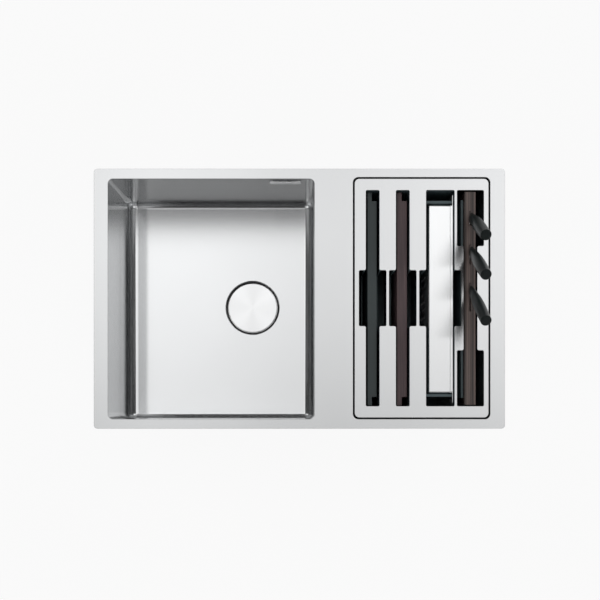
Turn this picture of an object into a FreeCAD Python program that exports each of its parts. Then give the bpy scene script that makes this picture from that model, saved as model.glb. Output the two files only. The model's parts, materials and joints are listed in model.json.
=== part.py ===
import FreeCAD, Part
import os
import re
import Sketcher
from FreeCAD import Placement, Rotation, Vector

# A steel worktop sink: a deep main bowl, and an accessory bowl that holds boards, a colander and knives.
# Millimetres. X runs to the right, Y to the back and Z up. The origin is the middle of the deck's
# outline, on the surface of the worktop that the rim seal rests on.

SIZES = {
    # Cuts run past what they cut by this much
    "overrun": 20,
    # What rests by its own weight on a piece that it lifts away from
    "rest_gap": 0.3,
    # Places and radii that agree this closely are the same
    "match_room": 0.001,
    # Deck
    "deck_length": 810,
    "deck_width": 512,
    "deck_sheet": 1.2,
    "deck_corner": 7,
    "edge_round": 0.5,
    "left_rim": 27.7,
    "right_rim": 29.2,
    "front_rim": 18.7,
    "bowl_back_rim": 19.7,
    "box_back_rim": 16.6,
    "lip_gap": 0.4,
    # Rim seal
    "seal_height": 2,
    "seal_width": 6,
    # Main bowl
    "bowl_depth": 200,
    "bowl_sheet": 1.2,
    "bowl_corner": 10,
    "bowl_side_round": 20,
    "bowl_end_round": 11,
    "recess_round": 1.5,
    # Accessory bowl
    "box_corner": 10.5,
    "box_floor_round": 13,
    # Overflow
    "overflow_from_right": 57.7,
    "overflow_drop": 19,
    "overflow_hole_length": 36,
    "overflow_hole_height": 8,
    "overflow_plate_length": 62,
    "overflow_plate_height": 14,
    "overflow_plate_sheet": 1.2,
    "overflow_plate_corner": 2,
    "overflow_standoff": 2.4,
    "overflow_collar_radius": 3.5,
    "overflow_stud_radius": 2,
    "overflow_stud_pitch": 52,
    "overflow_stud_clearance": 0.2,
    "overflow_gasket_thick": 2,
    "overflow_flange_length": 64,
    "overflow_flange_height": 22,
    "overflow_flange_thick": 2.5,
    "overflow_chamber_length": 41,
    "overflow_chamber_rise": 9,
    "overflow_chamber_fall": 18,
    "overflow_chamber_depth": 7,
    "overflow_throat_length": 24,
    "overflow_throat_height": 16,
    "overflow_throat_depth": 18,
    "overflow_housing_wall": 1.8,
    "overflow_spigot_radius": 8,
    "overflow_spigot_wall": 1.8,
    "overflow_spigot_length": 26,
    "overflow_nut_radius": 4,
    "overflow_nut_height": 3,
    # Main waste
    "main_recess_radius": 59,
    "main_recess_depth": 11,
    "main_hole_radius": 45,
    "main_seal_thick": 1.5,
    "main_flange_radius": 55,
    "main_flange_thick": 1.2,
    "main_cup_radius": 43,
    "main_cup_depth": 40,
    "main_drain_radius": 4.5,
    "main_drain_ring": 13,
    "main_drain_count": 8,
    "main_gasket_thick": 3,
    "main_body_flange_radius": 57,
    "main_body_flange_thick": 4,
    "main_chamber_radius": 49,
    "main_chamber_wall": 2.5,
    "main_chamber_depth": 52,
    "main_outlet_radius": 23.9,
    "main_outlet_wall": 4,
    "main_outlet_length": 26,
    "main_boss_radius": 7.5,
    "main_spoke_width": 4,
    "main_screw_radius": 3,
    "main_screw_head_radius": 6.5,
    "main_screw_head_height": 3,
    "main_insert_radius": 5.4,
    "main_insert_height": 6,
    "screw_clearance": 0.3,
    # Overflow inlet on the main waste
    "inlet_drop": 26,
    "inlet_reach": 26,
    "inlet_radius": 8,
    "inlet_wall": 1.8,
    "inlet_root_radius": 9.5,
    "inlet_root_reach": 2,
    # Outlet of the main waste
    "outlet_nut_radius": 30,
    "outlet_nut_height": 22,
    "outlet_nut_lip": 3,
    "outlet_nut_clearance": 0.1,
    "outlet_washer_thick": 2,
    "outlet_flange_thick": 3,
    "outlet_flange_radius": 23.3,
    "outlet_neck_radius": 20.6,
    "outlet_neck_drop": 1,
    "outlet_tail_radius": 20,
    "outlet_tail_wall": 1.8,
    "outlet_tail_length": 52,
    # Lift-out basket
    "basket_radius": 38,
    "basket_rim_radius": 47,
    "basket_sheet": 0.8,
    "basket_depth": 26,
    "basket_hole_radius": 2.2,
    "basket_inner_ring": 16,
    "basket_inner_count": 10,
    "basket_outer_ring": 27,
    "basket_outer_count": 18,
    "basket_side_count": 24,
    "basket_stem_radius": 4,
    "basket_knob_radius": 9,
    "basket_knob_height": 10,
    "basket_knob_clearance": 1.5,
    "plug_radius": 20,
    "plug_height": 7,
    "plug_hollow_radius": 9,
    "plug_hollow_height": 4,
    # Drain cover
    "cover_radius": 54.1,
    "cover_sheet": 1.5,
    "cover_drop": 2.5,
    "cover_rim": 4,
    "cover_edge_round": 1,
    "cover_foot_radius": 3.2,
    "cover_foot_ring": 42.5,
    "cover_foot_count": 3,
    # Waste of the accessory bowl
    "small_recess_radius": 36,
    "small_recess_depth": 4,
    "small_hole_radius": 27,
    "small_seal_thick": 1,
    "small_flange_radius": 34.5,
    "small_flange_thick": 1,
    "small_cup_radius": 25,
    "small_cup_depth": 10,
    "small_drain_radius": 3,
    "small_drain_ring": 15,
    "small_drain_count": 10,
    "small_gasket_thick": 2,
    "small_body_flange_radius": 36,
    "small_body_flange_thick": 3,
    "small_chamber_radius": 29,
    "small_chamber_wall": 2,
    "small_chamber_depth": 24,
    "small_outlet_radius": 16,
    "small_outlet_wall": 2.2,
    "small_outlet_length": 30,
    "small_boss_radius": 6,
    "small_spoke_width": 3,
    "small_screw_radius": 2.5,
    "small_screw_head_radius": 5,
    "small_screw_head_height": 2.5,
    "small_insert_radius": 4.4,
    "small_insert_height": 5,
    # Worktop clips
    "clip_depth": 8,
    "clip_width": 16,
    "clip_height": 8,
    "clip_drop": 8,
    "clip_screw_offset": 4.3,
    "clip_screw_radius": 2,
    "clip_screw_tip": 1,
    "clip_head_radius": 3.6,
    "clip_head_height": 3,
    "worktop_thick": 30,
    "jaw_sleeve_radius": 4,
    "jaw_sleeve_height": 12,
    "jaw_clearance": 0.2,
    "jaw_arm": 11.4,
    "side_jaw_arm": 21,
    "jaw_arm_thick": 3,
    "jaw_tooth": 3,
    "jaw_tooth_height": 6,
    # Sound deadening pads
    "pad_thick": 3,
    "wall_pad_margin": 72,
    # Insert plate
    "insert_gap": 3.5,
    "plate_sheet": 1.5,
    "plate_corner": 9,
    "slot_corner": 3,
    "plate_stud_radius": 2,
    "plate_stud_length": 16,
    "plate_stud_inset": 9.5,
    "plate_nut_radius": 4,
    "plate_nut_height": 3,
    # Organiser under the insert plate
    "organiser_inset": 1.5,
    "organiser_wall": 2.5,
    "organiser_corner": 7.5,
    "organiser_floor": 2.5,
    "foot_height": 6,
    "foot_radius": 9,
    "foot_inset": 28,
    "bumper_length": 24,
    "bumper_height": 14,
    "bumper_drop": 24,
    "boss_size": 15,
    "boss_height": 10,
    "boss_clearance": 0.3,
    "pocket_wall": 2.5,
    "pocket_play": 0.7,
    "pocket_drop": 9,
    "colander_rib": 5,
    "finger_depth": 75,
    "guard_wall": 4,
    "guard_drop": 13,
    "guard_low_drop": 70,
    "guard_play": 0.8,
    "floor_hole_radius": 5,
    "floor_hole_rows": 3,
    # Chopping boards
    "board_round": 1.2,
    "rebate_length": 17,
    # Colander
    "colander_sheet": 1,
    "colander_corner": 5,
    "colander_floor_round": 3.5,
    "colander_wing_corner": 8,
    "colander_rim": 3,
    "colander_hem": 4.5,
    "colander_hole_radius": 3,
    "colander_hole_pitch": 16,
    "colander_hole_margin": 26,
    # Knife block
    "block_drop": 3,
    "block_round": 0.8,
    "knife_slot_play": 0.4,
    "knife_edge_play": 0.7,
    "knife_tip_play": 4,
    # Knives
    "blade_thick": 2,
    "blade_edge": 0.4,
    "spine_place": 12.5,
    "neck_back": 11.5,
    "neck_front": 6,
    "tang_back": 8,
    "tang_front": 4,
    "tang_length": 90,
    "handle_start": 8,
    "handle_root_thick": 4.4,
    "handle_root_breadth": 10.2,
    "handle_root_shift": 3,
    "handle_swell_thick": 7.2,
    "handle_swell_breadth": 12.4,
    "handle_swell_shift": 3.4,
    "handle_belly_thick": 9.8,
    "handle_belly_breadth": 13.4,
    "handle_belly_shift": 2.8,
    "handle_waist_thick": 10.3,
    "handle_waist_breadth": 12,
    "handle_waist_shift": 1.2,
    "handle_butt_radius": 10,
    "handle_end_round": 1.8,
    "handle_root_round": 1.2,
    "cap_radius": 7.8,
    "cap_depth": 2,
    "cap_height": 2.6,
    "cap_round": 0.5,
    "small_knife_lean": 24.5,
    "small_knife_inset": 51.9,
    "small_knife_width": 24,
    "small_knife_length": 80,
    "small_knife_handle": 147,
    "middle_knife_lean": 26.5,
    "middle_knife_step": 65.7,
    "middle_knife_width": 34,
    "middle_knife_length": 150,
    "middle_knife_handle": 150,
    "large_knife_lean": 29,
    "large_knife_step": 75.9,
    "large_knife_width": 48,
    "large_knife_handle": 153,
}

# Sizes that keep their share of the size, or of the room, that they are listed under
DECK_SHARES = {"bowl_length": 407 / 810, "box_length": 270.2 / 810}
BOWL_SHARES = {"drain_from_right": 134 / 407, "floor_pad_length": 150 / 407, "floor_pad_margin": 45 / 407}
BOWL_WIDTH_SHARES = {"drain_from_front": 244 / 473.6, "floor_pad_width": 330 / 473.6}
BOX_SHARES = {"box_pad_length": 60 / 270.2, "box_pad_margin": 25 / 270.2}
INSERT_SHARES = {
    "black_slot_place": 35.2 / 263.2,
    "wood_slot_place": 94.5 / 263.2,
    "colander_slot_place": 168.5 / 263.2,
    "block_slot_place": 227.8 / 263.2,
    "board_slot_width": 27.2 / 263.2,
    "board_finger_width": 54.3 / 263.2,
    "colander_slot_width": 56.4 / 263.2,
    "colander_finger_width": 83.3 / 263.2,
    "block_slot_width": 27.4 / 263.2,
    "block_opening_width": 53.2 / 263.2,
    "black_board_thick": 18.8 / 263.2,
    "wood_board_thick": 20.2 / 263.2,
    "colander_thick": 48.4 / 263.2,
    "colander_shift": 2.1 / 263.2,
    "block_thick": 22 / 263.2,
}
INSERT_WIDTH_SHARES = {
    "slot_length": 426 / 469.7,
    "finger_length": 110.5 / 469.7,
    "block_opening_length": 110.4 / 469.7,
    "board_length": 423.6 / 469.7,
    "colander_length": 376.4 / 469.7,
    "colander_wing_length": 424 / 469.7,
    "block_length": 420 / 469.7,
    "guard_length": 392 / 469.7,
    "box_pad_width": 300 / 469.7,
    "bumper_place": 150 / 469.7,
    "floor_hole_pitch": 60 / 469.7,
}
DEPTH_SHARES = {
    "board_height": 179 / 200,
    "colander_height": 176 / 200,
    "large_knife_length": 185 / 200,
    "pad_top": 62 / 200,
    "pad_height": 100 / 200,
}
FOLLOWING_SHARES = {
    "deck_length": DECK_SHARES,
    "bowl_length": BOWL_SHARES,
    "deck_width - front_rim - bowl_back_rim": BOWL_WIDTH_SHARES,
    "box_length": BOX_SHARES,
    "box_length - 2 * insert_gap": INSERT_SHARES,
    "deck_width - front_rim - box_back_rim - 2 * insert_gap": INSERT_WIDTH_SHARES,
    "bowl_depth": DEPTH_SHARES,
}

# Each knife stands one step in front of the last, the first one in from the back end of the block
FORMULAS = {
    "small_knife_place": "block_length / 2 - small_knife_inset",
    "middle_knife_place": "small_knife_place - middle_knife_step",
    "large_knife_place": "middle_knife_place - large_knife_step",
}
for lead, shares in FOLLOWING_SHARES.items():
    for follower, share in shares.items():
        FORMULAS[follower] = f"({lead}) * {share}"

# Places of the worktop clips, as shares of the wall that each stands on
FRONT_CLIP_SHARES = {"front_left": 0.2, "front_middle": 0.7}
BACK_CLIP_SHARES = {"back_left": 0.2, "back_middle": 0.7}
MIDDLE_SHARE = 0.5

# Heights of the two rows of holes in the basket's side, as shares of its depth
SIDE_ROW_SHARES = (0.35, 0.65)

# Stations of a knife's handle and the curve of its blade, as shares of their lengths
HANDLE_SHARES = {"root": 0, "swell": 0.25, "belly": 0.52, "waist": 0.78}
STRAIGHT_EDGE_SHARE = 0.45
BELLY_EDGE_SHARES = (0.82, 0.55)

# An edge runs along an axis when this share of its length does
STRAIGHT_SHARE = 0.999

# Flat sides of a small nut and of the union nut
NUT_SIDES = 6
UNION_NUT_SIDES = 12

doc = FreeCAD.newDocument("sink")
sheet = doc.addObject("Spreadsheet::Sheet", "sizes")
cells = {alias: str(size) for alias, size in SIZES.items()}
cells.update({alias: "=" + formula for alias, formula in FORMULAS.items()})
for row, alias in enumerate(cells, 1):
    sheet.set(f"A{row}", alias)
    sheet.setAlias(f"B{row}", alias)
for row, words in enumerate(cells.values(), 1):
    sheet.set(f"B{row}", words)
doc.recompute()

nodes = {}


# Reading and binding sizes

def bound(words):
    """Write an expression in size names as the sheet's own aliases."""
    return re.sub(r"\b(?!cos\b|sin\b)([a-z][a-z_]*)", r"sizes.\1", words)


def value(words):
    """The number that an expression in size names stands for."""
    return float(sheet.evalExpression(bound(words)))


def bind(piece, place, words):
    """Bind one property of a piece to an expression in size names."""
    piece.setExpression(place, bound(words))


# Plain solids

AXIS_TURNS = {"x": Rotation(Vector(0, 1, 0), 90), "y": Rotation(Vector(1, 0, 0), -90), "z": Rotation()}


def place_at(piece, x, y, z):
    """Bind where a piece stands."""
    for axis, words in zip("xyz", (x, y, z)):
        bind(piece, f".Placement.Base.{axis}", words)


def block(name, x, y, z):
    """A box; x, y and z each hold its low and high plane."""
    piece = doc.addObject("Part::Box", name)
    for side, (low, high) in zip(("Length", "Width", "Height"), (x, y, z)):
        bind(piece, side, f"({high}) - ({low})")
    place_at(piece, x[0], y[0], z[0])
    return piece


def lay_along(piece, x, y, z):
    """Run a bar along whichever of x, y and z holds a low and a high end."""
    start = []
    for axis, words in zip("xyz", (x, y, z)):
        if isinstance(words, tuple):
            piece.Placement = Placement(Vector(), AXIS_TURNS[axis])
            bind(piece, "Height", f"({words[1]}) - ({words[0]})")
            words = words[0]
        start.append(words)
    place_at(piece, *start)
    return piece


def rod(name, radius, x, y, z):
    """A round bar."""
    piece = doc.addObject("Part::Cylinder", name)
    bind(piece, "Radius", radius)
    return lay_along(piece, x, y, z)


def nut_bar(name, sides, radius, x, y, z):
    """A bar with flat sides, as of a nut; the radius reaches its corners."""
    piece = doc.addObject("Part::Prism", name)
    piece.Polygon = sides
    bind(piece, "Circumradius", radius)
    return lay_along(piece, x, y, z)


def join(name, *pieces):
    """Several overlapping solids as one."""
    if len(pieces) == 1:
        return pieces[0]
    whole = doc.addObject("Part::MultiFuse", name)
    whole.Shapes = list(pieces)
    whole.Refine = True
    return whole


def cut(name, base, *tools):
    """A solid with others taken out of it."""
    rest = doc.addObject("Part::Cut", name)
    rest.Base = base
    rest.Tool = join(name + "_tools", *tools)
    rest.Refine = True
    return rest


def group(name, pieces):
    """Separate solids that share one node."""
    whole = doc.addObject("Part::Compound", name)
    whole.Links = list(pieces)
    return whole


def rounded(name, base, *rounds):
    """Round the edges that each test picks by its own radius; an edge takes the first test that fits."""
    doc.recompute()
    edges = []
    for number, edge in enumerate(base.Shape.Edges, 1):
        for test, radius in rounds:
            if test(edge):
                edges.append((number, value(radius), value(radius)))
                break
    piece = doc.addObject("Part::Fillet", name)
    piece.Base = base
    piece.Edges = edges
    return piece


def keep(node, piece):
    """Name a finished sub-part; its label names its file."""
    piece.Label = node
    nodes[node] = piece
    return piece


# Tests that pick edges

def along(axis):
    """Straight edges that run along one axis."""
    def test(edge):
        run = edge.tangentAt(edge.FirstParameter)
        straight = edge.Curve.TypeId == "Part::GeomLine"
        return straight and abs(getattr(run, axis)) > STRAIGHT_SHARE
    return test


def same(one, other):
    """Whether two lengths agree."""
    return abs(one - other) < value("match_room")


def at_level(axis, words):
    """Edges that lie on one plane."""
    level = value(words)

    def test(edge):
        low = getattr(edge.BoundBox, axis.upper() + "Min")
        high = getattr(edge.BoundBox, axis.upper() + "Max")
        return same(low, level) and same(high, level)
    return test


def circle_of(words, level):
    """Round edges of one radius at one height."""
    def test(edge):
        if edge.Curve.TypeId != "Part::GeomCircle":
            return False
        return same(edge.Curve.Radius, value(words)) and same(edge.Curve.Center.z, value(level))
    return test


def both(first, second):
    """Edges that pass two tests."""
    return lambda edge: first(edge) and second(edge)


def corner_at(side, middle="0"):
    """Upright edges as far to the left or the right of a middle plane as one side of an outline is."""
    upright = along("z")
    reach = value(side) - value(middle)

    def test(edge):
        return upright(edge) and same(abs(edge.CenterOfMass.x - value(middle)), reach)
    return test


def corner_in(x, y):
    """Upright edges inside a rectangle or on its outline."""
    upright = along("z")
    room = value("match_room")
    low_x, high_x = value(x[0]) - room, value(x[1]) + room
    low_y, high_y = value(y[0]) - room, value(y[1]) + room

    def test(edge):
        middle = edge.CenterOfMass
        return upright(edge) and low_x < middle.x < high_x and low_y < middle.y < high_y
    return test


# Sketched features

def plane_of(body, role):
    """One of a body's own origin planes or axes."""
    return next(item for item in body.Origin.OriginFeatures if item.Role == role)


def new_sketch(body, role, level="0"):
    """An empty sketch on one of the body's origin planes, raised by a bound height."""
    sketch = body.newObject("Sketcher::SketchObject", body.Name + "_sketch")
    sketch.AttachmentSupport = [(plane_of(body, role), "")]
    sketch.MapMode = "FlatFace"
    if level != "0":
        bind(sketch, ".AttachmentOffset.Base.z", level)
    return sketch


def draw_outline(sketch, points):
    """Draw a closed outline; every corner is bound to its own pair of expressions."""
    first = sketch.GeometryCount
    count = len(points)
    places = [Vector(value(across), value(up), 0) for across, up in points]
    for index in range(count):
        sketch.addGeometry(Part.LineSegment(places[index], places[(index + 1) % count]))
    for index in range(count):
        join_to = first + (index + 1) % count
        sketch.addConstraint(Sketcher.Constraint("Coincident", first + index, 2, join_to, 1))
    for index, words in enumerate(points):
        for kind, word, number in zip(("DistanceX", "DistanceY"), words, places[index]):
            place = sketch.addConstraint(Sketcher.Constraint(kind, -1, 1, first + index, 1, number))
            if word != "0":
                sketch.setExpression(f"Constraints[{place}]", bound(word))


def draw_circle(sketch, radius, across, up):
    """Draw one circle with its radius and centre bound."""
    centre = Vector(value(across), value(up), 0)
    item = sketch.addGeometry(Part.Circle(centre, Vector(0, 0, 1), value(radius)))
    for kind, words in (("DistanceX", across), ("DistanceY", up)):
        place = sketch.addConstraint(Sketcher.Constraint(kind, -1, 1, item, 3, value(words)))
        if words != "0":
            sketch.setExpression(f"Constraints[{place}]", bound(words))
    place = sketch.addConstraint(Sketcher.Constraint("Radius", item, value(radius)))
    sketch.setExpression(f"Constraints[{place}]", bound(radius))


def rectangle(x, y):
    """The corners of a rectangle from its low and high sides."""
    return [(x[0], y[0]), (x[1], y[0]), (x[1], y[1]), (x[0], y[1])]


def new_body(name):
    return doc.addObject("PartDesign::Body", name)


def pad(body, sketch, height):
    """Raise a sketch by a bound height."""
    feature = body.newObject("PartDesign::Pad", body.Name + "_pad")
    feature.Profile = sketch
    bind(feature, "Length", height)
    return feature


def round_edges(body, radius, test):
    """Round the edges of the body's last shape that pass a test."""
    doc.recompute()
    base = body.Tip
    names = [f"Edge{number}" for number, edge in enumerate(base.Shape.Edges, 1) if test(edge)]
    feature = body.newObject("PartDesign::Fillet", body.Name + "_round")
    feature.Base = (base, names)
    bind(feature, "Radius", radius)
    return feature


def turned(name, profile, x="0", y="0"):
    """A body turned about a vertical axis from an outline of radius and height pairs."""
    body = new_body(name)
    sketch = new_sketch(body, "XZ_Plane")
    draw_outline(sketch, profile)
    feature = body.newObject("PartDesign::Revolution", name + "_turn")
    feature.Profile = sketch
    feature.ReferenceAxis = (sketch, ["V_Axis"])
    feature.Angle = 360
    place_at(body, x, y, "0")
    return body


def ring_of_holes(body, radius, ring, count, level):
    """Drill a ring of upright holes down through a body from one level."""
    sketch = new_sketch(body, "XY_Plane", level)
    draw_circle(sketch, radius, ring, "0")
    drill_and_repeat(body, sketch, count)


def ring_of_side_holes(body, radius, level, count):
    """Drill a ring of level holes through a round wall."""
    sketch = new_sketch(body, "XZ_Plane")
    draw_circle(sketch, radius, "0", level)
    drill_and_repeat(body, sketch, count)


def drill_and_repeat(body, sketch, count):
    """Cut a sketch through the body and repeat it round the upright axis."""
    doc.recompute()
    faces = len(body.Shape.Faces)
    pocket = body.newObject("PartDesign::Pocket", body.Name + "_drill")
    pocket.Profile = sketch
    pocket.Type = "ThroughAll"
    pattern = body.newObject("PartDesign::PolarPattern", body.Name + "_ring")
    pattern.Originals = [pocket]
    pattern.Axis = (plane_of(body, "Z_Axis"), [""])
    pattern.Angle = 360
    bind(pattern, "Occurrences", count)
    body.Tip = pattern
    doc.recompute()
    if len(body.Shape.Faces) == faces:
        raise ValueError("the holes of " + body.Name + " cut nothing")


# Planes that the pieces share

deck_left = "(-deck_length / 2)"
deck_right = "(deck_length / 2)"
deck_front = "(-deck_width / 2)"
deck_back = "(deck_width / 2)"
deck_under = "seal_height"
deck_top = "(seal_height + deck_sheet)"
bowl_left = "(left_rim - deck_length / 2)"
bowl_right = "(left_rim + bowl_length - deck_length / 2)"
bowl_front = "(front_rim - deck_width / 2)"
bowl_back = "(deck_width / 2 - bowl_back_rim)"
box_right = "(deck_length / 2 - right_rim)"
box_left = "(deck_length / 2 - right_rim - box_length)"
box_front = bowl_front
box_back = "(deck_width / 2 - box_back_rim)"
box_x = f"(({box_left} + {box_right}) / 2)"
box_y = f"(({box_front} + {box_back}) / 2)"
floor_top = "(seal_height + deck_sheet - bowl_depth)"
drain_x = f"({bowl_right} - drain_from_right)"
drain_y = f"({bowl_front} + drain_from_front)"


def spread(middle, size):
    """The low and high side of something centred on a place."""
    return f"{middle} - {size} / 2", f"{middle} + {size} / 2"


def inset(x, y, by):
    """A rectangle drawn in by one distance all round."""
    return (f"{x[0]} + {by}", f"{x[1]} - {by}"), (f"{y[0]} + {by}", f"{y[1]} - {by}")


# Deck and rim seal

def deck_plate():
    """The flat deck with its turned-down edge and the openings of both bowls."""
    outside = ((deck_left, deck_right), (deck_front, deck_back))
    bowl = ((bowl_left, bowl_right), (bowl_front, bowl_back))
    box = ((box_left, box_right), (box_front, box_back))
    body = new_body("deck_body")
    lip = new_sketch(body, "XY_Plane", "lip_gap")
    draw_outline(lip, rectangle(*outside))
    draw_outline(lip, rectangle(*inset(*outside, "deck_sheet")))
    pad(body, lip, f"{deck_under} - lip_gap")
    flat = new_sketch(body, "XY_Plane", deck_under)
    for corners in (outside, bowl, box):
        draw_outline(flat, rectangle(*corners))
    pad(body, flat, "deck_sheet")
    round_edges(body, "deck_corner", corner_at(deck_right))
    round_edges(body, "deck_corner - deck_sheet", corner_at(f"{deck_right} - deck_sheet"))
    round_edges(body, "bowl_corner", corner_in(*bowl))
    round_edges(body, "box_corner", corner_in(*box))
    round_edges(body, "edge_round", at_level("z", deck_top))
    keep("deck_plate", body)


def rim_seal():
    """The soft strip that lies on the worktop, inside the turned-down edge."""
    outer = inset((deck_left, deck_right), (deck_front, deck_back), "deck_sheet")
    inner = inset(*outer, "seal_width")
    body = new_body("seal_body")
    sketch = new_sketch(body, "XY_Plane")
    draw_outline(sketch, rectangle(*outer))
    draw_outline(sketch, rectangle(*inner))
    pad(body, sketch, "seal_height")
    round_edges(body, "deck_corner - deck_sheet", corner_at(f"{deck_right} - deck_sheet"))
    keep("rim_seal", body)


# Bowls

def shell(name, x, y, corner, side_round, end_round):
    """The outside and the inside of a bowl: upright corners, and rounds where walls meet the floor."""
    outside_x, outside_y = inset(x, y, "-bowl_sheet")
    under = f"{floor_top} - bowl_sheet"
    outer = block(name + "_outside", outside_x, outside_y, (under, deck_under))
    inner = block(name + "_inside", x, y, (floor_top, f"{deck_under} + overrun"))
    skins = []
    for piece, level, extra in ((outer, under, " + bowl_sheet"), (inner, floor_top, "")):
        floor_edge = at_level("z", level)
        skins.append(rounded(
            piece.Name + "_rounded",
            piece,
            (along("z"), corner + extra),
            (both(floor_edge, along("y")), side_round + extra),
            (both(floor_edge, along("x")), end_round + extra),
        ))
    return skins


def recessed(name, outer, inner, waste, x, y):
    """A bowl shell with the pressed recess and the hole of one waste."""
    low = f"{floor_top} - {waste}_recess_depth"
    under = f"{low} - bowl_sheet"
    dish = rod(name + "_dish", f"{waste}_recess_radius + bowl_sheet", x, y, (under, floor_top))
    hollow = rod(name + "_hollow", f"{waste}_recess_radius", x, y, (low, f"{floor_top} + overrun"))
    hole = rod(name + "_hole", f"{waste}_hole_radius", x, y, (f"{under} - overrun", floor_top))
    solid = join(name + "_solid", outer, dish)
    open_bowl = cut(name + "_open", solid, inner, hollow, hole)
    return rounded(
        name + "_soft",
        open_bowl,
        (circle_of(f"{waste}_recess_radius", floor_top), "recess_round"),
    )


def main_bowl():
    """The deep bowl, with its overflow hole high in the back wall."""
    bowl_x = (bowl_left, bowl_right)
    bowl_y = (bowl_front, bowl_back)
    outer, inner = shell("bowl", bowl_x, bowl_y, "bowl_corner", "bowl_side_round", "bowl_end_round")
    bowl = recessed("bowl", outer, inner, "main", drain_x, drain_y)
    through = (f"{bowl_back} - overrun", f"{bowl_back} + bowl_sheet + overrun")
    holes = overflow_holes("bowl_overflow", through, "overflow_hole_length", "overflow_hole_height")
    keep("main_bowl", cut("bowl_done", bowl, *holes))


def accessory_bowl():
    """The bowl at the right, which the insert stands in."""
    sides = (box_left, box_right)
    ends = (box_front, box_back)
    outer, inner = shell("box", sides, ends, "box_corner", "box_floor_round", "box_floor_round")
    keep("accessory_bowl", recessed("box", outer, inner, "small", box_x, box_y))


# Overflow

overflow_x = f"({bowl_right} - overflow_from_right)"
overflow_z = f"({deck_top} - overflow_drop)"
stud_places = spread(overflow_x, "overflow_stud_pitch")


def overflow_holes(name, through, length, height):
    """The long hole of the overflow and the two stud holes beside it."""
    middle = block(name + "_middle", spread(overflow_x, length), through, spread(overflow_z, height))
    holes = [middle]
    for side, place in zip(("left", "right"), stud_places):
        radius = "overflow_stud_radius + overflow_stud_clearance"
        holes.append(rod(f"{name}_{side}", radius, place, through, overflow_z))
    return holes


def overflow_plate():
    """The cover in front of the overflow hole, held off the wall by collars on its studs."""
    back = f"{bowl_back} - overflow_standoff"
    front = f"{back} - overflow_plate_sheet"
    height = spread(overflow_z, "overflow_plate_height")
    flat = block("overflow_flat", spread(overflow_x, "overflow_plate_length"), (front, back), height)
    flat = rounded("overflow_flat_rounded", flat, (along("y"), "overflow_plate_corner"))
    nut_face = f"{bowl_back} + bowl_sheet + overflow_gasket_thick + overflow_flange_thick"
    tip = f"{nut_face} + overflow_nut_height + overflow_stud_radius"
    pieces = [flat]
    for side, place in zip(("left", "right"), stud_places):
        for part, end in (("collar", bowl_back), ("stud", tip)):
            radius = f"overflow_{part}_radius"
            pieces.append(rod(f"overflow_{part}_{side}", radius, place, (back, end), overflow_z))
    keep("overflow_plate", join("overflow_plate_solid", *pieces))


def overflow_gasket():
    """The soft gasket between the bowl wall and the overflow housing."""
    face = f"{bowl_back} + bowl_sheet"
    depth = (face, f"{face} + overflow_gasket_thick")
    pad_block = block(
        "overflow_gasket_pad",
        spread(overflow_x, "overflow_flange_length"),
        depth,
        spread(overflow_z, "overflow_flange_height"),
    )
    through = (f"{depth[0]} - overrun", f"{depth[1]} + overrun")
    holes = overflow_holes("overflow_gasket", through, "overflow_hole_length", "overflow_hole_height")
    keep("overflow_gasket", cut("overflow_gasket_solid", pad_block, *holes))


def overflow_housing():
    """The moulded housing behind the wall, which leads the overflow down to a hose spigot."""
    face = f"({bowl_back} + bowl_sheet + overflow_gasket_thick)"
    wall = "overflow_housing_wall"
    flange_back = f"{face} + overflow_flange_thick"
    chamber_back = f"{face} + overflow_chamber_depth"
    throat_back = f"{face} + overflow_throat_depth"
    chamber_z = (f"{overflow_z} - overflow_chamber_fall", f"{overflow_z} + overflow_chamber_rise")
    chamber_x = spread(overflow_x, "overflow_chamber_length")
    throat_x = spread(overflow_x, "overflow_throat_length")
    throat_low = f"{chamber_z[0]} - overflow_throat_height"
    spigot_y = f"{face} + overflow_throat_depth / 2"
    spigot_low = f"{throat_low} - overflow_spigot_length"
    flange = block(
        "overflow_flange",
        spread(overflow_x, "overflow_flange_length"),
        (face, flange_back),
        spread(overflow_z, "overflow_flange_height"),
    )
    chamber = block("overflow_chamber", chamber_x, (face, chamber_back), chamber_z)
    throat = block("overflow_throat", throat_x, (face, throat_back), (throat_low, chamber_z[0]))
    spigot = rod("overflow_spigot", "overflow_spigot_radius", overflow_x, spigot_y, (spigot_low, throat_low))
    whole = join("overflow_housing_whole", flange, chamber, throat, spigot)
    chamber_hollow = block(
        "overflow_chamber_hollow",
        (f"{chamber_x[0]} + {wall}", f"{chamber_x[1]} - {wall}"),
        (f"{face} - overrun", f"{chamber_back} - {wall}"),
        (f"{chamber_z[0]} + {wall}", f"{chamber_z[1]} - {wall}"),
    )
    throat_hollow = block(
        "overflow_throat_hollow",
        (f"{throat_x[0]} + {wall}", f"{throat_x[1]} - {wall}"),
        (f"{face} + {wall}", f"{throat_back} - {wall}"),
        (f"{throat_low} + {wall}", f"{chamber_z[0]} - {wall}"),
    )
    neck = block(
        "overflow_neck",
        (f"{throat_x[0]} + {wall}", f"{throat_x[1]} - {wall}"),
        (f"{face} + {wall}", f"{chamber_back} - {wall}"),
        (f"{chamber_z[0]} - 2 * {wall}", f"{chamber_z[0]} + 2 * {wall}"),
    )
    bore_radius = "overflow_spigot_radius - overflow_spigot_wall"
    bore = rod("overflow_bore", bore_radius, overflow_x, spigot_y,
               (f"{spigot_low} - overrun", f"{throat_low} + 2 * {wall}"))
    through = (f"{face} - overrun", f"{flange_back} + overrun")
    stud_holes = []
    for side, place in zip(("left", "right"), stud_places):
        radius = "overflow_stud_radius + overflow_stud_clearance"
        stud_holes.append(rod(f"overflow_flange_hole_{side}", radius, place, through, overflow_z))
    solid = cut("overflow_housing_solid", whole, chamber_hollow, throat_hollow, neck, bore, *stud_holes)
    keep("overflow_housing", solid)


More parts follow.
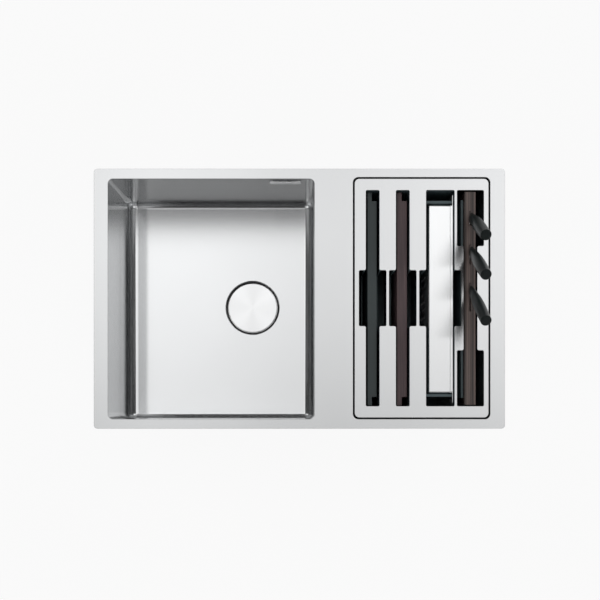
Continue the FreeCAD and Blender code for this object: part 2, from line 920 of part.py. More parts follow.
def overflow_nuts():
    """The nuts on the two studs."""
    face = f"{bowl_back} + bowl_sheet + overflow_gasket_thick + overflow_flange_thick"
    depth = (face, f"{face} + overflow_nut_height")
    nuts = []
    for side, place in zip(("left", "right"), stud_places):
        nut = nut_bar(f"overflow_nut_{side}", NUT_SIDES, "overflow_nut_radius", place, depth, overflow_z)
        hole = rod(f"overflow_nut_hole_{side}", "overflow_stud_radius", place,
                   (f"{depth[0]} - overrun", f"{depth[1]} + overrun"), overflow_z)
        nuts.append(cut(f"overflow_nut_cut_{side}", nut, hole))
    keep("overflow_nuts", group("overflow_nut_group", nuts))


# Wastes

def ring(name, inner, outer, x, y, low, high):
    """A flat ring, as of a seal."""
    profile = [(inner, low), (outer, low), (outer, high), (inner, high)]
    return turned(name, profile, x, y)


def waste_levels(waste):
    """The heights that the pieces of one waste share, from the recess floor down to the outlet."""
    recess = f"({floor_top} - {waste}_recess_depth)"
    flange = f"({recess} + {waste}_seal_thick)"
    cup = f"({flange} - {waste}_cup_depth)"
    body = f"({recess} - bowl_sheet - {waste}_gasket_thick)"
    chamber = f"({body} - {waste}_chamber_depth)"
    outlet = f"({chamber} - {waste}_outlet_length)"
    return recess, flange, cup, body, chamber, outlet


def waste(name, prefix, x, y, extra_outside=(), extra_inside=()):
    """One waste: seal, strainer, gasket, moulded body, threaded insert and the screw that clamps them."""
    recess, flange, cup, body, chamber, outlet = waste_levels(name)
    size = name + "_"
    thick = size + "flange_thick"
    seal_inner = f"{size}cup_radius + screw_clearance"
    keep(prefix + "top_seal",
         ring(size + "top_seal", seal_inner, f"{size}recess_radius - rest_gap", x, y, recess, flange))

    # The strainer cup hangs from its flange
    hole = f"{size}screw_radius + screw_clearance"
    strainer = turned(size + "strainer", [
        (hole, cup),
        (f"{size}cup_radius", cup),
        (f"{size}cup_radius", flange),
        (f"{size}flange_radius", flange),
        (f"{size}flange_radius", f"{flange} + {thick}"),
        (f"{size}cup_radius - {thick}", f"{flange} + {thick}"),
        (f"{size}cup_radius - {thick}", f"{cup} + {thick}"),
        (hole, f"{cup} + {thick}"),
    ], x, y)
    ring_of_holes(strainer, f"{size}drain_radius", f"{size}drain_ring", f"{size}drain_count", flange)
    keep(prefix + "strainer", strainer)

    gasket_top = f"{recess} - bowl_sheet"
    keep(prefix + "gasket",
         ring(size + "gasket", f"{size}hole_radius", f"{size}body_flange_radius", x, y, body, gasket_top))

    # The moulded body below, with spokes and a boss that take the clamp screw
    chamber_radius = f"{size}chamber_radius"
    bore = f"{size}outlet_radius - {size}outlet_wall"
    flange_low = f"{body} - {size}body_flange_thick"
    outside = join(
        size + "body_outside",
        rod(size + "body_flange", f"{size}body_flange_radius", x, y, (flange_low, body)),
        rod(size + "body_chamber", chamber_radius, x, y, (chamber, body)),
        rod(size + "body_outlet", f"{size}outlet_radius", x, y, (outlet, body)),
        *extra_outside,
    )
    floor = f"{chamber} + {size}chamber_wall"
    hollow = join(
        size + "body_hollow",
        rod(size + "body_room", f"{chamber_radius} - {size}chamber_wall", x, y, (floor, f"{body} + overrun")),
        rod(size + "body_bore", bore, x, y, (f"{outlet} - overrun", body)),
        *extra_inside,
    )
    shell_only = cut(size + "body_shell", outside, hollow)
    reach = f"(2 * ({bore}) + {size}chamber_wall)"
    width = f"{size}spoke_width"
    boss = rod(size + "boss", f"{size}boss_radius", x, y, (chamber, cup))
    spokes = [
        block(size + "spoke_across", spread(x, reach), spread(y, width), (chamber, floor)),
        block(size + "spoke_along", spread(x, width), spread(y, reach), (chamber, floor)),
    ]
    joined = join(size + "body_joined", shell_only, boss, *spokes)
    below = f"{chamber} - overrun"
    screw_radius = f"{size}screw_radius"
    screw_bore = rod(size + "screw_bore", screw_radius, x, y, (below, f"{cup} + overrun"))
    insert_high = f"{chamber} + {size}insert_height"
    insert_radius = f"{size}insert_radius"
    insert = nut_bar(size + "insert_solid", NUT_SIDES, insert_radius, x, y, (chamber, insert_high))
    insert_room = nut_bar(size + "insert_room", NUT_SIDES, insert_radius, x, y, (below, insert_high))
    keep(prefix + "waste_body", cut(size + "body_done", joined, screw_bore, insert_room))
    insert_bore = rod(size + "insert_bore", screw_radius, x, y, (below, f"{insert_high} + overrun"))
    keep(prefix + "threaded_insert", cut(size + "insert_done", insert, insert_bore))

    head_low = f"{cup} + {thick}"
    head_high = f"{head_low} + {size}screw_head_height"
    screw = turned(size + "screw", [
        ("0", chamber),
        (screw_radius, chamber),
        (screw_radius, head_low),
        (f"{size}screw_head_radius", head_low),
        (f"{size}screw_head_radius", head_high),
        ("0", head_high),
    ], x, y)
    keep(prefix + "clamp_screw", screw)


def main_waste():
    """The waste of the main bowl, with the overflow's inlet at its back."""
    body = waste_levels("main")[3]
    inlet_z = f"{body} - inlet_drop"
    chamber_back = f"{drain_y} + main_chamber_radius"
    inlet_end = f"{chamber_back} + inlet_reach"
    tube = rod("inlet_tube", "inlet_radius", drain_x, (drain_y, inlet_end), inlet_z)
    root_y = (drain_y, f"{chamber_back} + inlet_root_reach")
    root = rod("inlet_root", "inlet_root_radius", drain_x, root_y, inlet_z)
    bore_y = (drain_y, f"{inlet_end} + overrun")
    bore = rod("inlet_bore", "inlet_radius - inlet_wall", drain_x, bore_y, inlet_z)
    waste("main", "main_", drain_x, drain_y, [tube, root], [bore])


def outlet_fittings():
    """The washer, the flanged tail and the union nut on the outlet of the main waste."""
    outlet = waste_levels("main")[5]
    washer_low = f"({outlet} - outlet_washer_thick)"
    flange_low = f"({washer_low} - outlet_flange_thick)"
    tail_low = f"({flange_low} - outlet_tail_length)"
    nut_low = f"({flange_low} - outlet_nut_lip)"
    nut_high = f"({nut_low} + outlet_nut_height)"
    neck_low = f"({nut_low} - outlet_neck_drop)"
    bore = "outlet_tail_radius - outlet_tail_wall"
    keep("outlet_washer",
         ring("outlet_washer_ring", bore, "outlet_flange_radius", drain_x, drain_y, washer_low, outlet))
    tail = turned("outlet_tail_pipe", [
        (bore, tail_low),
        ("outlet_tail_radius", tail_low),
        ("outlet_tail_radius", neck_low),
        ("outlet_neck_radius", neck_low),
        ("outlet_neck_radius", flange_low),
        ("outlet_flange_radius", flange_low),
        ("outlet_flange_radius", washer_low),
        (bore, washer_low),
    ], drain_x, drain_y)
    keep("outlet_tail", tail)
    nut = nut_bar("outlet_nut_outside", UNION_NUT_SIDES, "outlet_nut_radius", drain_x, drain_y,
                  (nut_low, nut_high))
    room = rod("outlet_nut_room", "main_outlet_radius + outlet_nut_clearance", drain_x, drain_y,
               (flange_low, f"{nut_high} + overrun"))
    hole = rod("outlet_nut_hole", "outlet_neck_radius + outlet_nut_clearance", drain_x, drain_y,
               (f"{nut_low} - overrun", f"{nut_high} + overrun"))
    keep("outlet_nut", cut("outlet_nut_solid", nut, room, hole))


# Basket and drain cover

flange_top = f"({waste_levels('main')[1]} + main_flange_thick)"
basket_rim = f"({flange_top} + rest_gap)"
basket_low = f"({basket_rim} - basket_depth)"
cover_top = f"({floor_top} - cover_drop)"
cover_under = f"({cover_top} - cover_sheet)"


def strainer_basket():
    """The perforated basket that hangs in the strainer cup by its rim."""
    inner = "basket_radius - basket_sheet"
    rim_top = f"{basket_rim} + basket_sheet"
    floor = f"{basket_low} + basket_sheet"
    basket = turned("basket_body", [
        ("basket_stem_radius", basket_low),
        ("basket_radius", basket_low),
        ("basket_radius", basket_rim),
        ("basket_rim_radius", basket_rim),
        ("basket_rim_radius", rim_top),
        (inner, rim_top),
        (inner, floor),
        ("basket_stem_radius", floor),
    ], drain_x, drain_y)
    ring_of_holes(basket, "basket_hole_radius", "basket_inner_ring", "basket_inner_count", basket_rim)
    ring_of_holes(basket, "basket_hole_radius", "basket_outer_ring", "basket_outer_count", basket_rim)
    for share in SIDE_ROW_SHARES:
        level = f"{basket_low} + basket_depth * {share}"
        ring_of_side_holes(basket, "basket_hole_radius", level, "basket_side_count")
    keep("strainer_basket", basket)


def basket_plug():
    """The soft plug under the basket, hollow over the clamp screw's head."""
    cup_floor = f"({waste_levels('main')[2]} + main_flange_thick)"
    low = f"({cup_floor} + rest_gap)"
    high = f"({low} + plug_height)"
    plug = turned("plug_body", [
        ("plug_hollow_radius", low),
        ("plug_radius", low),
        ("plug_radius", high),
        ("0", high),
        ("0", f"{low} + plug_hollow_height"),
        ("plug_hollow_radius", f"{low} + plug_hollow_height"),
    ], drain_x, drain_y)
    keep("basket_plug", plug)
    knob_top = f"({cover_under} - basket_knob_clearance)"
    knob_low = f"({knob_top} - basket_knob_height)"
    stem = turned("stem_body", [
        ("0", high),
        ("basket_stem_radius", high),
        ("basket_stem_radius", knob_low),
        ("basket_knob_radius", knob_low),
        ("basket_knob_radius", knob_top),
        ("0", knob_top),
    ], drain_x, drain_y)
    keep("basket_knob", stem)


def drain_cover():
    """The round cover, flush with the floor, and the soft feet that stand on the basket's rim."""
    disc = turned("cover_body", [
        ("0", cover_under),
        ("cover_radius - cover_sheet", cover_under),
        ("cover_radius - cover_sheet", f"{cover_top} - cover_rim"),
        ("cover_radius", f"{cover_top} - cover_rim"),
        ("cover_radius", cover_top),
        ("0", cover_top),
    ], drain_x, drain_y)
    round_edges(disc, "cover_edge_round", at_level("z", cover_top))
    keep("drain_cover", disc)
    foot_low = f"{basket_rim} + basket_sheet + rest_gap"
    count = int(value("cover_foot_count"))
    feet = []
    for index in range(count):
        angle = 360 * index / count
        x = f"{drain_x} + cover_foot_ring * cos({angle})"
        y = f"{drain_y} + cover_foot_ring * sin({angle})"
        feet.append(rod(f"cover_foot_{index}", "cover_foot_radius", x, y, (foot_low, cover_under)))
    keep("cover_feet", group("cover_feet_group", feet))


# Worktop clips

clip_high = f"({deck_under} - clip_drop)"
clip_low = f"({clip_high} - clip_height)"
jaw_low = "(-worktop_thick - jaw_tooth_height - jaw_arm_thick)"
OUTWARD = {"front": -90, "back": 90, "left": 180, "right": 0}


def clip_places():
    """Where each clip's wall face is: its x and y, and the way that the wall faces."""
    places = {}
    front = f"({bowl_front} - bowl_sheet)"
    for name, share in FRONT_CLIP_SHARES.items():
        places[name] = (f"{bowl_left} + bowl_length * {share}", front, "front")
    places["front_right"] = (f"{box_left} + box_length * {MIDDLE_SHARE}", front, "front")
    for name, share in BACK_CLIP_SHARES.items():
        places[name] = (f"{bowl_left} + bowl_length * {share}", f"{bowl_back} + bowl_sheet", "back")
    places["back_right"] = (f"{box_left} + box_length * {MIDDLE_SHARE}", f"{box_back} + bowl_sheet", "back")
    places["left"] = (f"{bowl_left} - bowl_sheet", f"({bowl_front} + {bowl_back}) * {MIDDLE_SHARE}", "left")
    places["right"] = (f"{box_right} + bowl_sheet", box_y, "right")
    return places


def stand(piece, x, y, facing):
    """Turn a piece that is drawn facing the right, and bind its place on the wall."""
    piece.Placement = Placement(Vector(), Rotation(Vector(0, 0, 1), OUTWARD[facing]))
    place_at(piece, x, y, "0")
    return piece


def worktop_clips():
    """Brackets welded to the bowl walls, their screws, and the jaws that swing out under the worktop."""
    head_high = f"({jaw_low} - rest_gap)"
    head_low = f"({head_high} - clip_head_height)"
    brackets = []
    screws = []
    for name, (x, y, facing) in clip_places().items():
        height = (clip_low, clip_high)
        solid = block(f"bracket_{name}", ("0", "clip_depth"), spread("0", "clip_width"), height)
        hole = rod(f"bracket_hole_{name}", "clip_screw_radius", "clip_screw_offset", "0",
                   (f"{clip_low} - overrun", f"{clip_high} + overrun"))
        brackets.append(stand(cut(f"bracket_cut_{name}", solid, hole), x, y, facing))

        shank = rod(f"screw_shank_{name}", "clip_screw_radius", "clip_screw_offset", "0",
                    (head_low, f"{clip_high} + clip_screw_tip"))
        head = rod(f"screw_head_{name}", "clip_head_radius", "clip_screw_offset", "0", (head_low, head_high))
        screws.append(stand(join(f"screw_{name}", shank, head), x, y, facing))

        sleeve = rod(f"jaw_sleeve_{name}", "jaw_sleeve_radius", "clip_screw_offset", "0",
                     (jaw_low, f"{jaw_low} + jaw_sleeve_height"))
        own_arm = "side_jaw_arm" if facing in ("left", "right") else "jaw_arm"
        arm_end = f"clip_screw_offset + {own_arm}"
        width = spread("0", "(2 * jaw_sleeve_radius)")
        arm = block(f"jaw_arm_{name}", ("clip_screw_offset", arm_end), width,
                    (jaw_low, f"{jaw_low} + jaw_arm_thick"))
        tooth = block(f"jaw_tooth_{name}", (f"{arm_end} - jaw_tooth", arm_end), width,
                      (jaw_low, "-worktop_thick"))
        bore = rod(f"jaw_bore_{name}", "clip_screw_radius + jaw_clearance", "clip_screw_offset", "0",
                   (f"{jaw_low} - overrun", f"{clip_low} + overrun"))
        jaw = cut(f"jaw_cut_{name}", join(f"jaw_whole_{name}", sleeve, arm, tooth), bore)
        keep(f"jaw_{name}", stand(jaw, x, y, facing))
    keep("clip_brackets", group("bracket_group", brackets))
    keep("clip_screws", group("screw_group", screws))


# Sound deadening pads

def sound_pads():
    """Soft pads glued to the outside of the bowls."""
    high = f"({deck_top} - pad_top)"
    height = (f"{high} - pad_height", high)
    under = f"({floor_top} - bowl_sheet)"
    below = (f"{under} - pad_thick", under)
    left_face = f"{bowl_left} - bowl_sheet"
    front_face = f"{bowl_front} - bowl_sheet"
    back_face = f"{bowl_back} + bowl_sheet"
    wall_x = (f"{bowl_left} + wall_pad_margin", f"{bowl_right} - wall_pad_margin")
    wall_y = (f"{bowl_front} + wall_pad_margin", f"{bowl_back} - wall_pad_margin")
    floor_x = (f"{bowl_left} + floor_pad_margin", f"{bowl_left} + floor_pad_margin + floor_pad_length")
    floor_y = spread(f"({bowl_front} + {bowl_back}) / 2", "floor_pad_width")
    keep("bowl_pads", group("bowl_pad_group", [
        block("left_pad", (f"{left_face} - pad_thick", left_face), wall_y, height),
        block("front_pad", wall_x, (f"{front_face} - pad_thick", front_face), height),
        block("back_pad", wall_x, (back_face, f"{back_face} + pad_thick"), height),
        block("floor_pad", floor_x, floor_y, below),
    ]))
    right_face = f"{box_right} + bowl_sheet"
    box_wall_y = (f"{box_front} + wall_pad_margin", f"{box_back} - wall_pad_margin")
    strip_y = spread(box_y, "box_pad_width")
    left_strip = (f"{box_left} + box_pad_margin", f"{box_left} + box_pad_margin + box_pad_length")
    right_strip = (f"{box_right} - box_pad_margin - box_pad_length", f"{box_right} - box_pad_margin")
    keep("box_pads", group("box_pad_group", [
        block("right_pad", (right_face, f"{right_face} + pad_thick"), box_wall_y, height),
        block("left_strip_pad", left_strip, strip_y, below),
        block("right_strip_pad", right_strip, strip_y, below),
    ]))


# Insert of the accessory bowl

plate_x = (f"({box_left} + insert_gap)", f"({box_right} - insert_gap)")
plate_y = (f"({box_front} + insert_gap)", f"({box_back} - insert_gap)")
plate_under = f"({deck_top} - plate_sheet)"
black_x = f"({plate_x[0]} + black_slot_place)"
wood_x = f"({plate_x[0]} + wood_slot_place)"
colander_x = f"({plate_x[0]} + colander_slot_place)"
block_x = f"({plate_x[0]} + block_slot_place)"
organiser_low = f"({floor_top} + foot_height)"
organiser_floor_top = f"({organiser_low} + organiser_floor)"
pocket_rest = f"({organiser_floor_top} + rest_gap)"


def finger_slot(middle, width, finger_width):
    """The outline of a slot that widens in its middle for the fingers."""
    left, right = spread(middle, width)
    wide_left, wide_right = spread(middle, finger_width)
    low, high = spread(box_y, "slot_length")
    finger_low, finger_high = spread(box_y, "finger_length")
    return [
        (left, low), (right, low), (right, finger_low), (wide_right, finger_low),
        (wide_right, finger_high), (right, finger_high), (right, high), (left, high),
        (left, finger_high), (wide_left, finger_high), (wide_left, finger_low), (left, finger_low),
    ]


def ended_slot():
    """The outline of the knife block's slot, which widens at both ends."""
    left, right = spread(block_x, "block_slot_width")
    wide_left, wide_right = spread(block_x, "block_opening_width")
    low, high = spread(box_y, "slot_length")
    front_end = f"{low} + block_opening_length"
    back_end = f"{high} - block_opening_length"
    return [
        (wide_left, low), (wide_right, low), (wide_right, front_end), (right, front_end),
        (right, back_end), (wide_right, back_end), (wide_right, high), (wide_left, high),
        (wide_left, back_end), (left, back_end), (left, front_end), (wide_left, front_end),
    ]


def stud_corners():
    """The four places of the studs under the insert plate."""
    low_x, high_x = plate_x
    low_y, high_y = plate_y
    reach = "plate_stud_inset"
    return {
        "front_left": (f"{low_x} + {reach}", f"{low_y} + {reach}"),
        "front_right": (f"{high_x} - {reach}", f"{low_y} + {reach}"),
        "back_left": (f"{low_x} + {reach}", f"{high_y} - {reach}"),
        "back_right": (f"{high_x} - {reach}", f"{high_y} - {reach}"),
    }


def insert_plate():
    """The steel plate with its slots and cut-outs, and the studs under its corners."""
    body = new_body("plate_body")
    sketch = new_sketch(body, "XY_Plane", plate_under)
    draw_outline(sketch, rectangle(plate_x, plate_y))
    draw_outline(sketch, finger_slot(black_x, "board_slot_width", "board_finger_width"))
    draw_outline(sketch, finger_slot(wood_x, "board_slot_width", "board_finger_width"))
    draw_outline(sketch, finger_slot(colander_x, "colander_slot_width", "colander_finger_width"))
    draw_outline(sketch, ended_slot())
    pad(body, sketch, "plate_sheet")
    round_edges(body, "plate_corner", corner_at(plate_x[1], box_x))
    round_edges(body, "slot_corner", corner_in(plate_x, spread(box_y, "slot_length")))
    studs = new_sketch(body, "XY_Plane", f"{plate_under} - plate_stud_length")
    for place in stud_corners().values():
        draw_circle(studs, "plate_stud_radius", *place)
    pad(body, studs, "plate_stud_length")
    keep("insert_plate", body)


def plate_nuts():
    """The nuts that hold the organiser up to the plate."""
    high = f"({plate_under} - boss_height)"
    low = f"({high} - plate_nut_height)"
    nuts = []
    for name, (x, y) in stud_corners().items():
        nut = nut_bar("plate_nut_" + name, NUT_SIDES, "plate_nut_radius", x, y, (low, high))
        through = (f"{low} - overrun", f"{high} + overrun")
        hole = rod("plate_nut_hole_" + name, "plate_stud_radius", x, y, through)
        nuts.append(cut("plate_nut_cut_" + name, nut, hole))
    keep("plate_nuts", group("plate_nut_group", nuts))


def pocket(name, middle, room, length, high):
    """The four walls that stand round one stored piece, and the room inside them."""
    outer_x = spread(middle, f"({room} + 2 * pocket_wall)")
    outer_y = spread(box_y, f"({length} + 2 * pocket_wall)")
    wall = block(name + "_walls", outer_x, outer_y, (organiser_low, high))
    hollow = block(name + "_room", spread(middle, room), spread(box_y, length),
                   (organiser_floor_top, f"{deck_top} + overrun"))
    return wall, hollow


def floor_holes():
    """Drain holes in rows between the pockets."""
    rows = int(value("floor_hole_rows"))
    places = (black_x, wood_x, colander_x)
    through = (f"{organiser_low} - overrun", f"{organiser_floor_top} + overrun")
    holes = []
    for line, x in enumerate(places):
        for row in range(-rows, rows + 1):
            y = f"{box_y} + floor_hole_pitch * {row}"
            holes.append(rod(f"floor_hole_{line}_{row + rows}", "floor_hole_radius", x, y, through))
    return holes


def organiser():
    """The moulded tray that the plate covers, with a pocket for each stored piece."""
    outer_x, outer_y = inset(plate_x, plate_y, "organiser_inset")
    inner_x, inner_y = inset(outer_x, outer_y, "organiser_wall")
    tray = block("tray_outside", outer_x, outer_y, (organiser_low, plate_under))
    tray = rounded("tray_outside_rounded", tray, (along("z"), "organiser_corner"))
    room = block("tray_room", inner_x, inner_y, (organiser_floor_top, f"{deck_top} + overrun"))
    room = rounded("tray_room_rounded", room, (along("z"), "organiser_corner - organiser_wall"))
    open_tray = cut("tray_open", tray, room)

    wall_top = f"({deck_top} - pocket_drop)"
    board_room = "(board_slot_width + 2 * pocket_play)"
    colander_room = "(colander_slot_width + 2 * pocket_play)"
    pocket_length = "(slot_length + 2 * pocket_play)"
    walls = []
    rooms = []
    for name, middle, width in (
        ("black_pocket", black_x, board_room),
        ("wood_pocket", wood_x, board_room),
        ("colander_pocket", colander_x, colander_room),
    ):
        wall, hollow = pocket(name, middle, width, pocket_length, wall_top)
        walls.append(wall)
        rooms.append(hollow)
    notch_x = (f"{inner_x[0]}", f"{block_x} - block_thick / 2 - guard_play - guard_wall")
    notch = block("finger_notch", notch_x, spread(box_y, "finger_length"),
                  (f"{deck_top} - finger_depth", f"{deck_top} + overrun"))
    pockets = cut("pockets", join("pocket_walls", *walls), *rooms, notch)

    # Ribs at the ends of the colander stop short of its wings
    wing_side = f"{colander_x} + colander_shift + colander_thick / 2 - colander_sheet"
    rib_x = (spread(colander_x, colander_room)[0], f"{wing_side} - pocket_play")
    rib_near = f"({box_y} + colander_length / 2 + pocket_play)"
    rib_far = f"({box_y} - colander_length / 2 - pocket_play)"
    rib_z = (organiser_low, wall_top)
    ribs = [
        block("back_rib", rib_x, (rib_near, f"{rib_near} + colander_rib"), rib_z),
        block("front_rib", rib_x, (f"{rib_far} - colander_rib", rib_far), rib_z),
    ]

    # Guards on both sides of the knife block, the outer one low
    guard_y = spread(box_y, "guard_length")
    guard_left = f"({block_x} - block_thick / 2 - guard_play)"
    guard_right = f"({block_x} + block_thick / 2 + guard_play)"
    guards = [
        block("tall_guard", (f"{guard_left} - guard_wall", guard_left), guard_y,
              (organiser_low, f"{deck_top} - guard_drop")),
        block("low_guard", (guard_right, f"{guard_right} + guard_wall"), guard_y,
              (organiser_low, f"{deck_top} - guard_low_drop")),
    ]

    # Corner bosses take the studs of the plate
    bosses = []
    stud_holes = []
    for name, (x, y) in stud_corners().items():
        reach_x = spread(x, "boss_size")
        reach_y = spread(y, "boss_size")
        boss = block("boss_" + name, reach_x, reach_y, (f"{plate_under} - boss_height", plate_under))
        bosses.append(boss)
        stud_holes.append(rod("boss_hole_" + name, "plate_stud_radius + boss_clearance", x, y,
                              (f"{plate_under} - boss_height - overrun", f"{plate_under} + overrun")))
    boss_set = doc.addObject("Part::Common", "boss_set")
    boss_set.Base = join("bosses", *bosses)
    boss_set.Tool = tray
    whole = join("organiser_whole", open_tray, pockets, *ribs, *guards, boss_set)
    keep("organiser", cut("organiser_solid", whole, *stud_holes, *floor_holes()))


def organiser_rests():
    """The soft feet under the organiser, and the bumpers that keep it off the bowl walls."""
    foot_z = (f"{floor_top} + rest_gap", organiser_low)
    feet = []
    for name, x in (("left", f"{plate_x[0]} + foot_inset"), ("right", f"{plate_x[1]} - foot_inset")):
        for end, y in (("front", f"{plate_y[0]} + foot_inset"), ("back", f"{plate_y[1]} - foot_inset")):
            feet.append(rod(f"foot_{end}_{name}", "foot_radius", x, y, foot_z))
    keep("organiser_feet", group("feet_group", feet))
    high = f"({plate_under} - bumper_drop)"
    bumper_z = (f"{high} - bumper_height", high)
    tray_x, tray_y = inset(plate_x, plate_y, "organiser_inset")
    left = (f"{box_left} + rest_gap", tray_x[0])
    right = (tray_x[1], f"{box_right} - rest_gap")
    bumpers = []
    for name, x in (("left", left), ("right", right)):
        for end, place in (("front", f"{box_y} - bumper_place"), ("back", f"{box_y} + bumper_place")):
            bumpers.append(block(f"bumper_{name}_{end}", x, spread(f"({place})", "bumper_length"), bumper_z))
    front = (f"{box_front} + rest_gap", tray_y[0])
    back = (tray_y[1], f"{box_back} - rest_gap")
    for name, y in (("front", front), ("back", back)):
        bumpers.append(block(f"bumper_{name}", spread(box_x, "bumper_length"), y, bumper_z))
    keep("side_bumpers", group("bumper_group", bumpers))


# Boards

def board(name, middle, thick):
    """A chopping board on edge; half its thickness is cut back at both ends, so the rest bridges a bowl."""
    x = spread(middle, thick)
    y = spread(box_y, "board_length")
    high = f"{pocket_rest} + board_height"
    whole = block(name + "_whole", x, y, (pocket_rest, high))
    over = (f"{pocket_rest} - overrun", f"{high} + overrun")
    step_x = (middle, f"{x[1]} + overrun")
    back = block(name + "_back_rebate", step_x, (f"{y[1]} - rebate_length", f"{y[1]} + overrun"), over)
    front = block(name + "_front_rebate", step_x, (f"{y[0]} - overrun", f"{y[0]} + rebate_length"), over)
    stepped = cut(name + "_stepped", whole, back, front)
    top = at_level("z", high)
    bottom = at_level("z", pocket_rest)
    soft = rounded(name + "_soft", stepped, (lambda edge: top(edge) or bottom(edge), "board_round"))
    keep(name, soft)


# Colander

def colander():
    """The steel colander on its side: a hemmed mouth to the right, with wings at both ends of the mouth."""
    middle = f"({colander_x} + colander_shift)"
    x = spread(middle, "colander_thick")
    y = spread(box_y, "colander_length")
    low = f"({pocket_rest} + colander_rim)"
    high = f"({low} + colander_height)"
    outer = block("colander_outside", x, y, (low, high))
    inner_x = (f"{x[0]} + colander_sheet", f"{x[1]} + overrun")
    inner_y = (f"{y[0]} + colander_sheet", f"{y[1]} - colander_sheet")
    inner_z = (f"{low} + colander_sheet", f"{high} - colander_sheet")
    inner = block("colander_inside", inner_x, inner_y, inner_z)
    skins = []
    for piece, place, less in ((outer, x[0], ""), (inner, inner_x[0], " - colander_sheet")):
        skins.append(rounded(
            piece.Name + "_rounded",
            piece,
            (along("x"), "colander_corner" + less),
            (at_level("x", place), "colander_floor_round" + less),
        ))
    wing = block(
        "colander_wing",
        (f"{x[1]} - colander_sheet", x[1]),
        spread(box_y, "colander_wing_length"),
        (f"{low} - colander_rim", f"{high} + colander_rim"),
    )
    wing = rounded("colander_wing_rounded", wing, (along("x"), "colander_wing_corner"))
    hem = block(
        "colander_hem",
        (f"{x[1]} - colander_hem", x[1]),
        y,
        (f"{low} - colander_rim", f"{high} + colander_rim"),
    )
    hem = rounded("colander_hem_rounded", hem, (along("x"), "colander_corner"))
    solid = join("colander_solid", skins[0], wing, hem)
    holes = doc.addObject("Part::Feature", "colander_holes")
    pitch = value("colander_hole_pitch")
    margin = value("colander_hole_margin")
    columns = int((value("colander_length") - 2 * margin) / pitch)
    rows = int((value("colander_height") - 2 * margin) / pitch)
    reach = value("colander_sheet + 2 * colander_floor_round")
    start_x = value(x[0]) - reach / 2
    middle_z = value(f"({low} + {high}) / 2")
    cylinders = []
    for column in range(columns + 1):
        for row in range(rows + 1):
            spot = Vector(
                start_x,
                value(box_y) + (column - columns / 2) * pitch,
                middle_z + (row - rows / 2) * pitch,
            )
            cylinders.append(Part.makeCylinder(value("colander_hole_radius"), reach, spot, Vector(1, 0, 0)))
    holes.Shape = Part.makeCompound(cylinders)
    keep("colander", cut("colander_done", cut("colander_open", solid, skins[1]), holes))


# Knife block and knives

block_top = f"({deck_top} - block_drop)"
KNIVES = ("small_knife", "middle_knife", "large_knife")


def lean(piece, knife):
    """Lean a piece that is drawn along its own upright axis into its knife's slot."""
    turn = Rotation(Vector(1, 0, 0), value(knife + "_lean"))
    piece.Placement = Placement(Vector(), turn)
    place_at(piece, block_x, knife + "_place", block_top)
    return piece


def knife_slots(side):
    """The slanted slots that the blades slide in."""
    slots = []
    for knife in KNIVES:
        half = "blade_thick / 2 + knife_slot_play"
        front = f"spine_place - {knife}_width - knife_edge_play"
        slot = block(
            f"{knife}_slot_{side}",
            (f"-({half})", half),
            (front, "spine_place + knife_edge_play"),
            (f"-{knife}_length - knife_tip_play", "2 * overrun"),
        )
        slots.append(lean_block(slot, knife))
    return slots


def lean_block(slot, knife):
    """Lean a box that was drawn about its knife's own axis."""
    holder = doc.addObject("Part::Compound", slot.Name + "_leaning")
    holder.Links = [slot]
    return lean(holder, knife)


def knife_block():
    """Two glued halves of wood, each with half of every slot."""
    y = spread(box_y, "block_length")
    z = (pocket_rest, block_top)
    left_x, right_x = spread(block_x, "block_thick")
    for side, x in (("left", (left_x, block_x)), ("right", (block_x, right_x))):
        half = block("block_half_" + side, x, y, z)
        face = x[0] if side == "left" else x[1]
        half = rounded("block_soft_" + side, half, (at_level("x", face), "block_round"))
        keep("knife_block_" + side, cut("block_cut_" + side, half, *knife_slots(side)))


def blade_shape(knife):
    """A ground blade with its tang, drawn with its edge to the front and its tip down."""
    spine = value("spine_place")
    edge = spine - value(knife + "_width")
    neck_back = value("neck_back")
    neck_front = -value("neck_front")
    tang_back = value("tang_back")
    tang_front = -value("tang_front")
    length = value(knife + "_length")
    start = value("handle_start")
    tang_top = start + value("tang_length")
    depth_share, width_share = BELLY_EDGE_SHARES
    tip = Vector(0, spine, -length)
    straight = Vector(0, edge, -length * STRAIGHT_EDGE_SHARE)
    belly = Vector(0, spine + (edge - spine) * width_share, -length * depth_share)
    outline = [
        Vector(0, spine, 0),
        Vector(0, neck_back, start),
        Vector(0, tang_back, start),
        Vector(0, tang_back, tang_top),
        Vector(0, tang_front, tang_top),
        Vector(0, tang_front, start),
        Vector(0, neck_front, start),
        Vector(0, neck_front, 0),
        Vector(0, edge, 0),
        straight,
    ]
    edges = [Part.LineSegment(a, b).toShape() for a, b in zip(outline, outline[1:])]
    edges.append(Part.Arc(straight, belly, tip).toShape())
    edges.append(Part.LineSegment(tip, outline[0]).toShape())
    half = value("blade_thick") / 2
    thin = value("blade_edge") / 2
    over = value("overrun")
    flat = Part.Face(Part.Wire(edges)).extrude(Vector(2 * half, 0, 0))
    flat.translate(Vector(-half, 0, 0))
    low = -length - over
    section = [
        Vector(-half, spine + over, low),
        Vector(half, spine + over, low),
        Vector(half, tang_front, low),
        Vector(thin, edge, low),
        Vector(-thin, edge, low),
        Vector(-half, tang_front, low),
    ]
    wedge = Part.Face(Part.makePolygon(section + section[:1])).extrude(Vector(0, 0, tang_top + over - low))
    return flat.common(wedge).removeSplitter()


def oval(name, thick, breadth, shift, level):
    """One oval section of a handle, wider along the blade than across it and moved to the spine's side."""
    piece = doc.addObject("Part::Ellipse", name)
    piece.Placement = Placement(Vector(), Rotation(Vector(0, 0, 1), 90))
    bind(piece, "MajorRadius", breadth)
    bind(piece, "MinorRadius", thick)
    place_at(piece, "0", shift, level)
    return piece


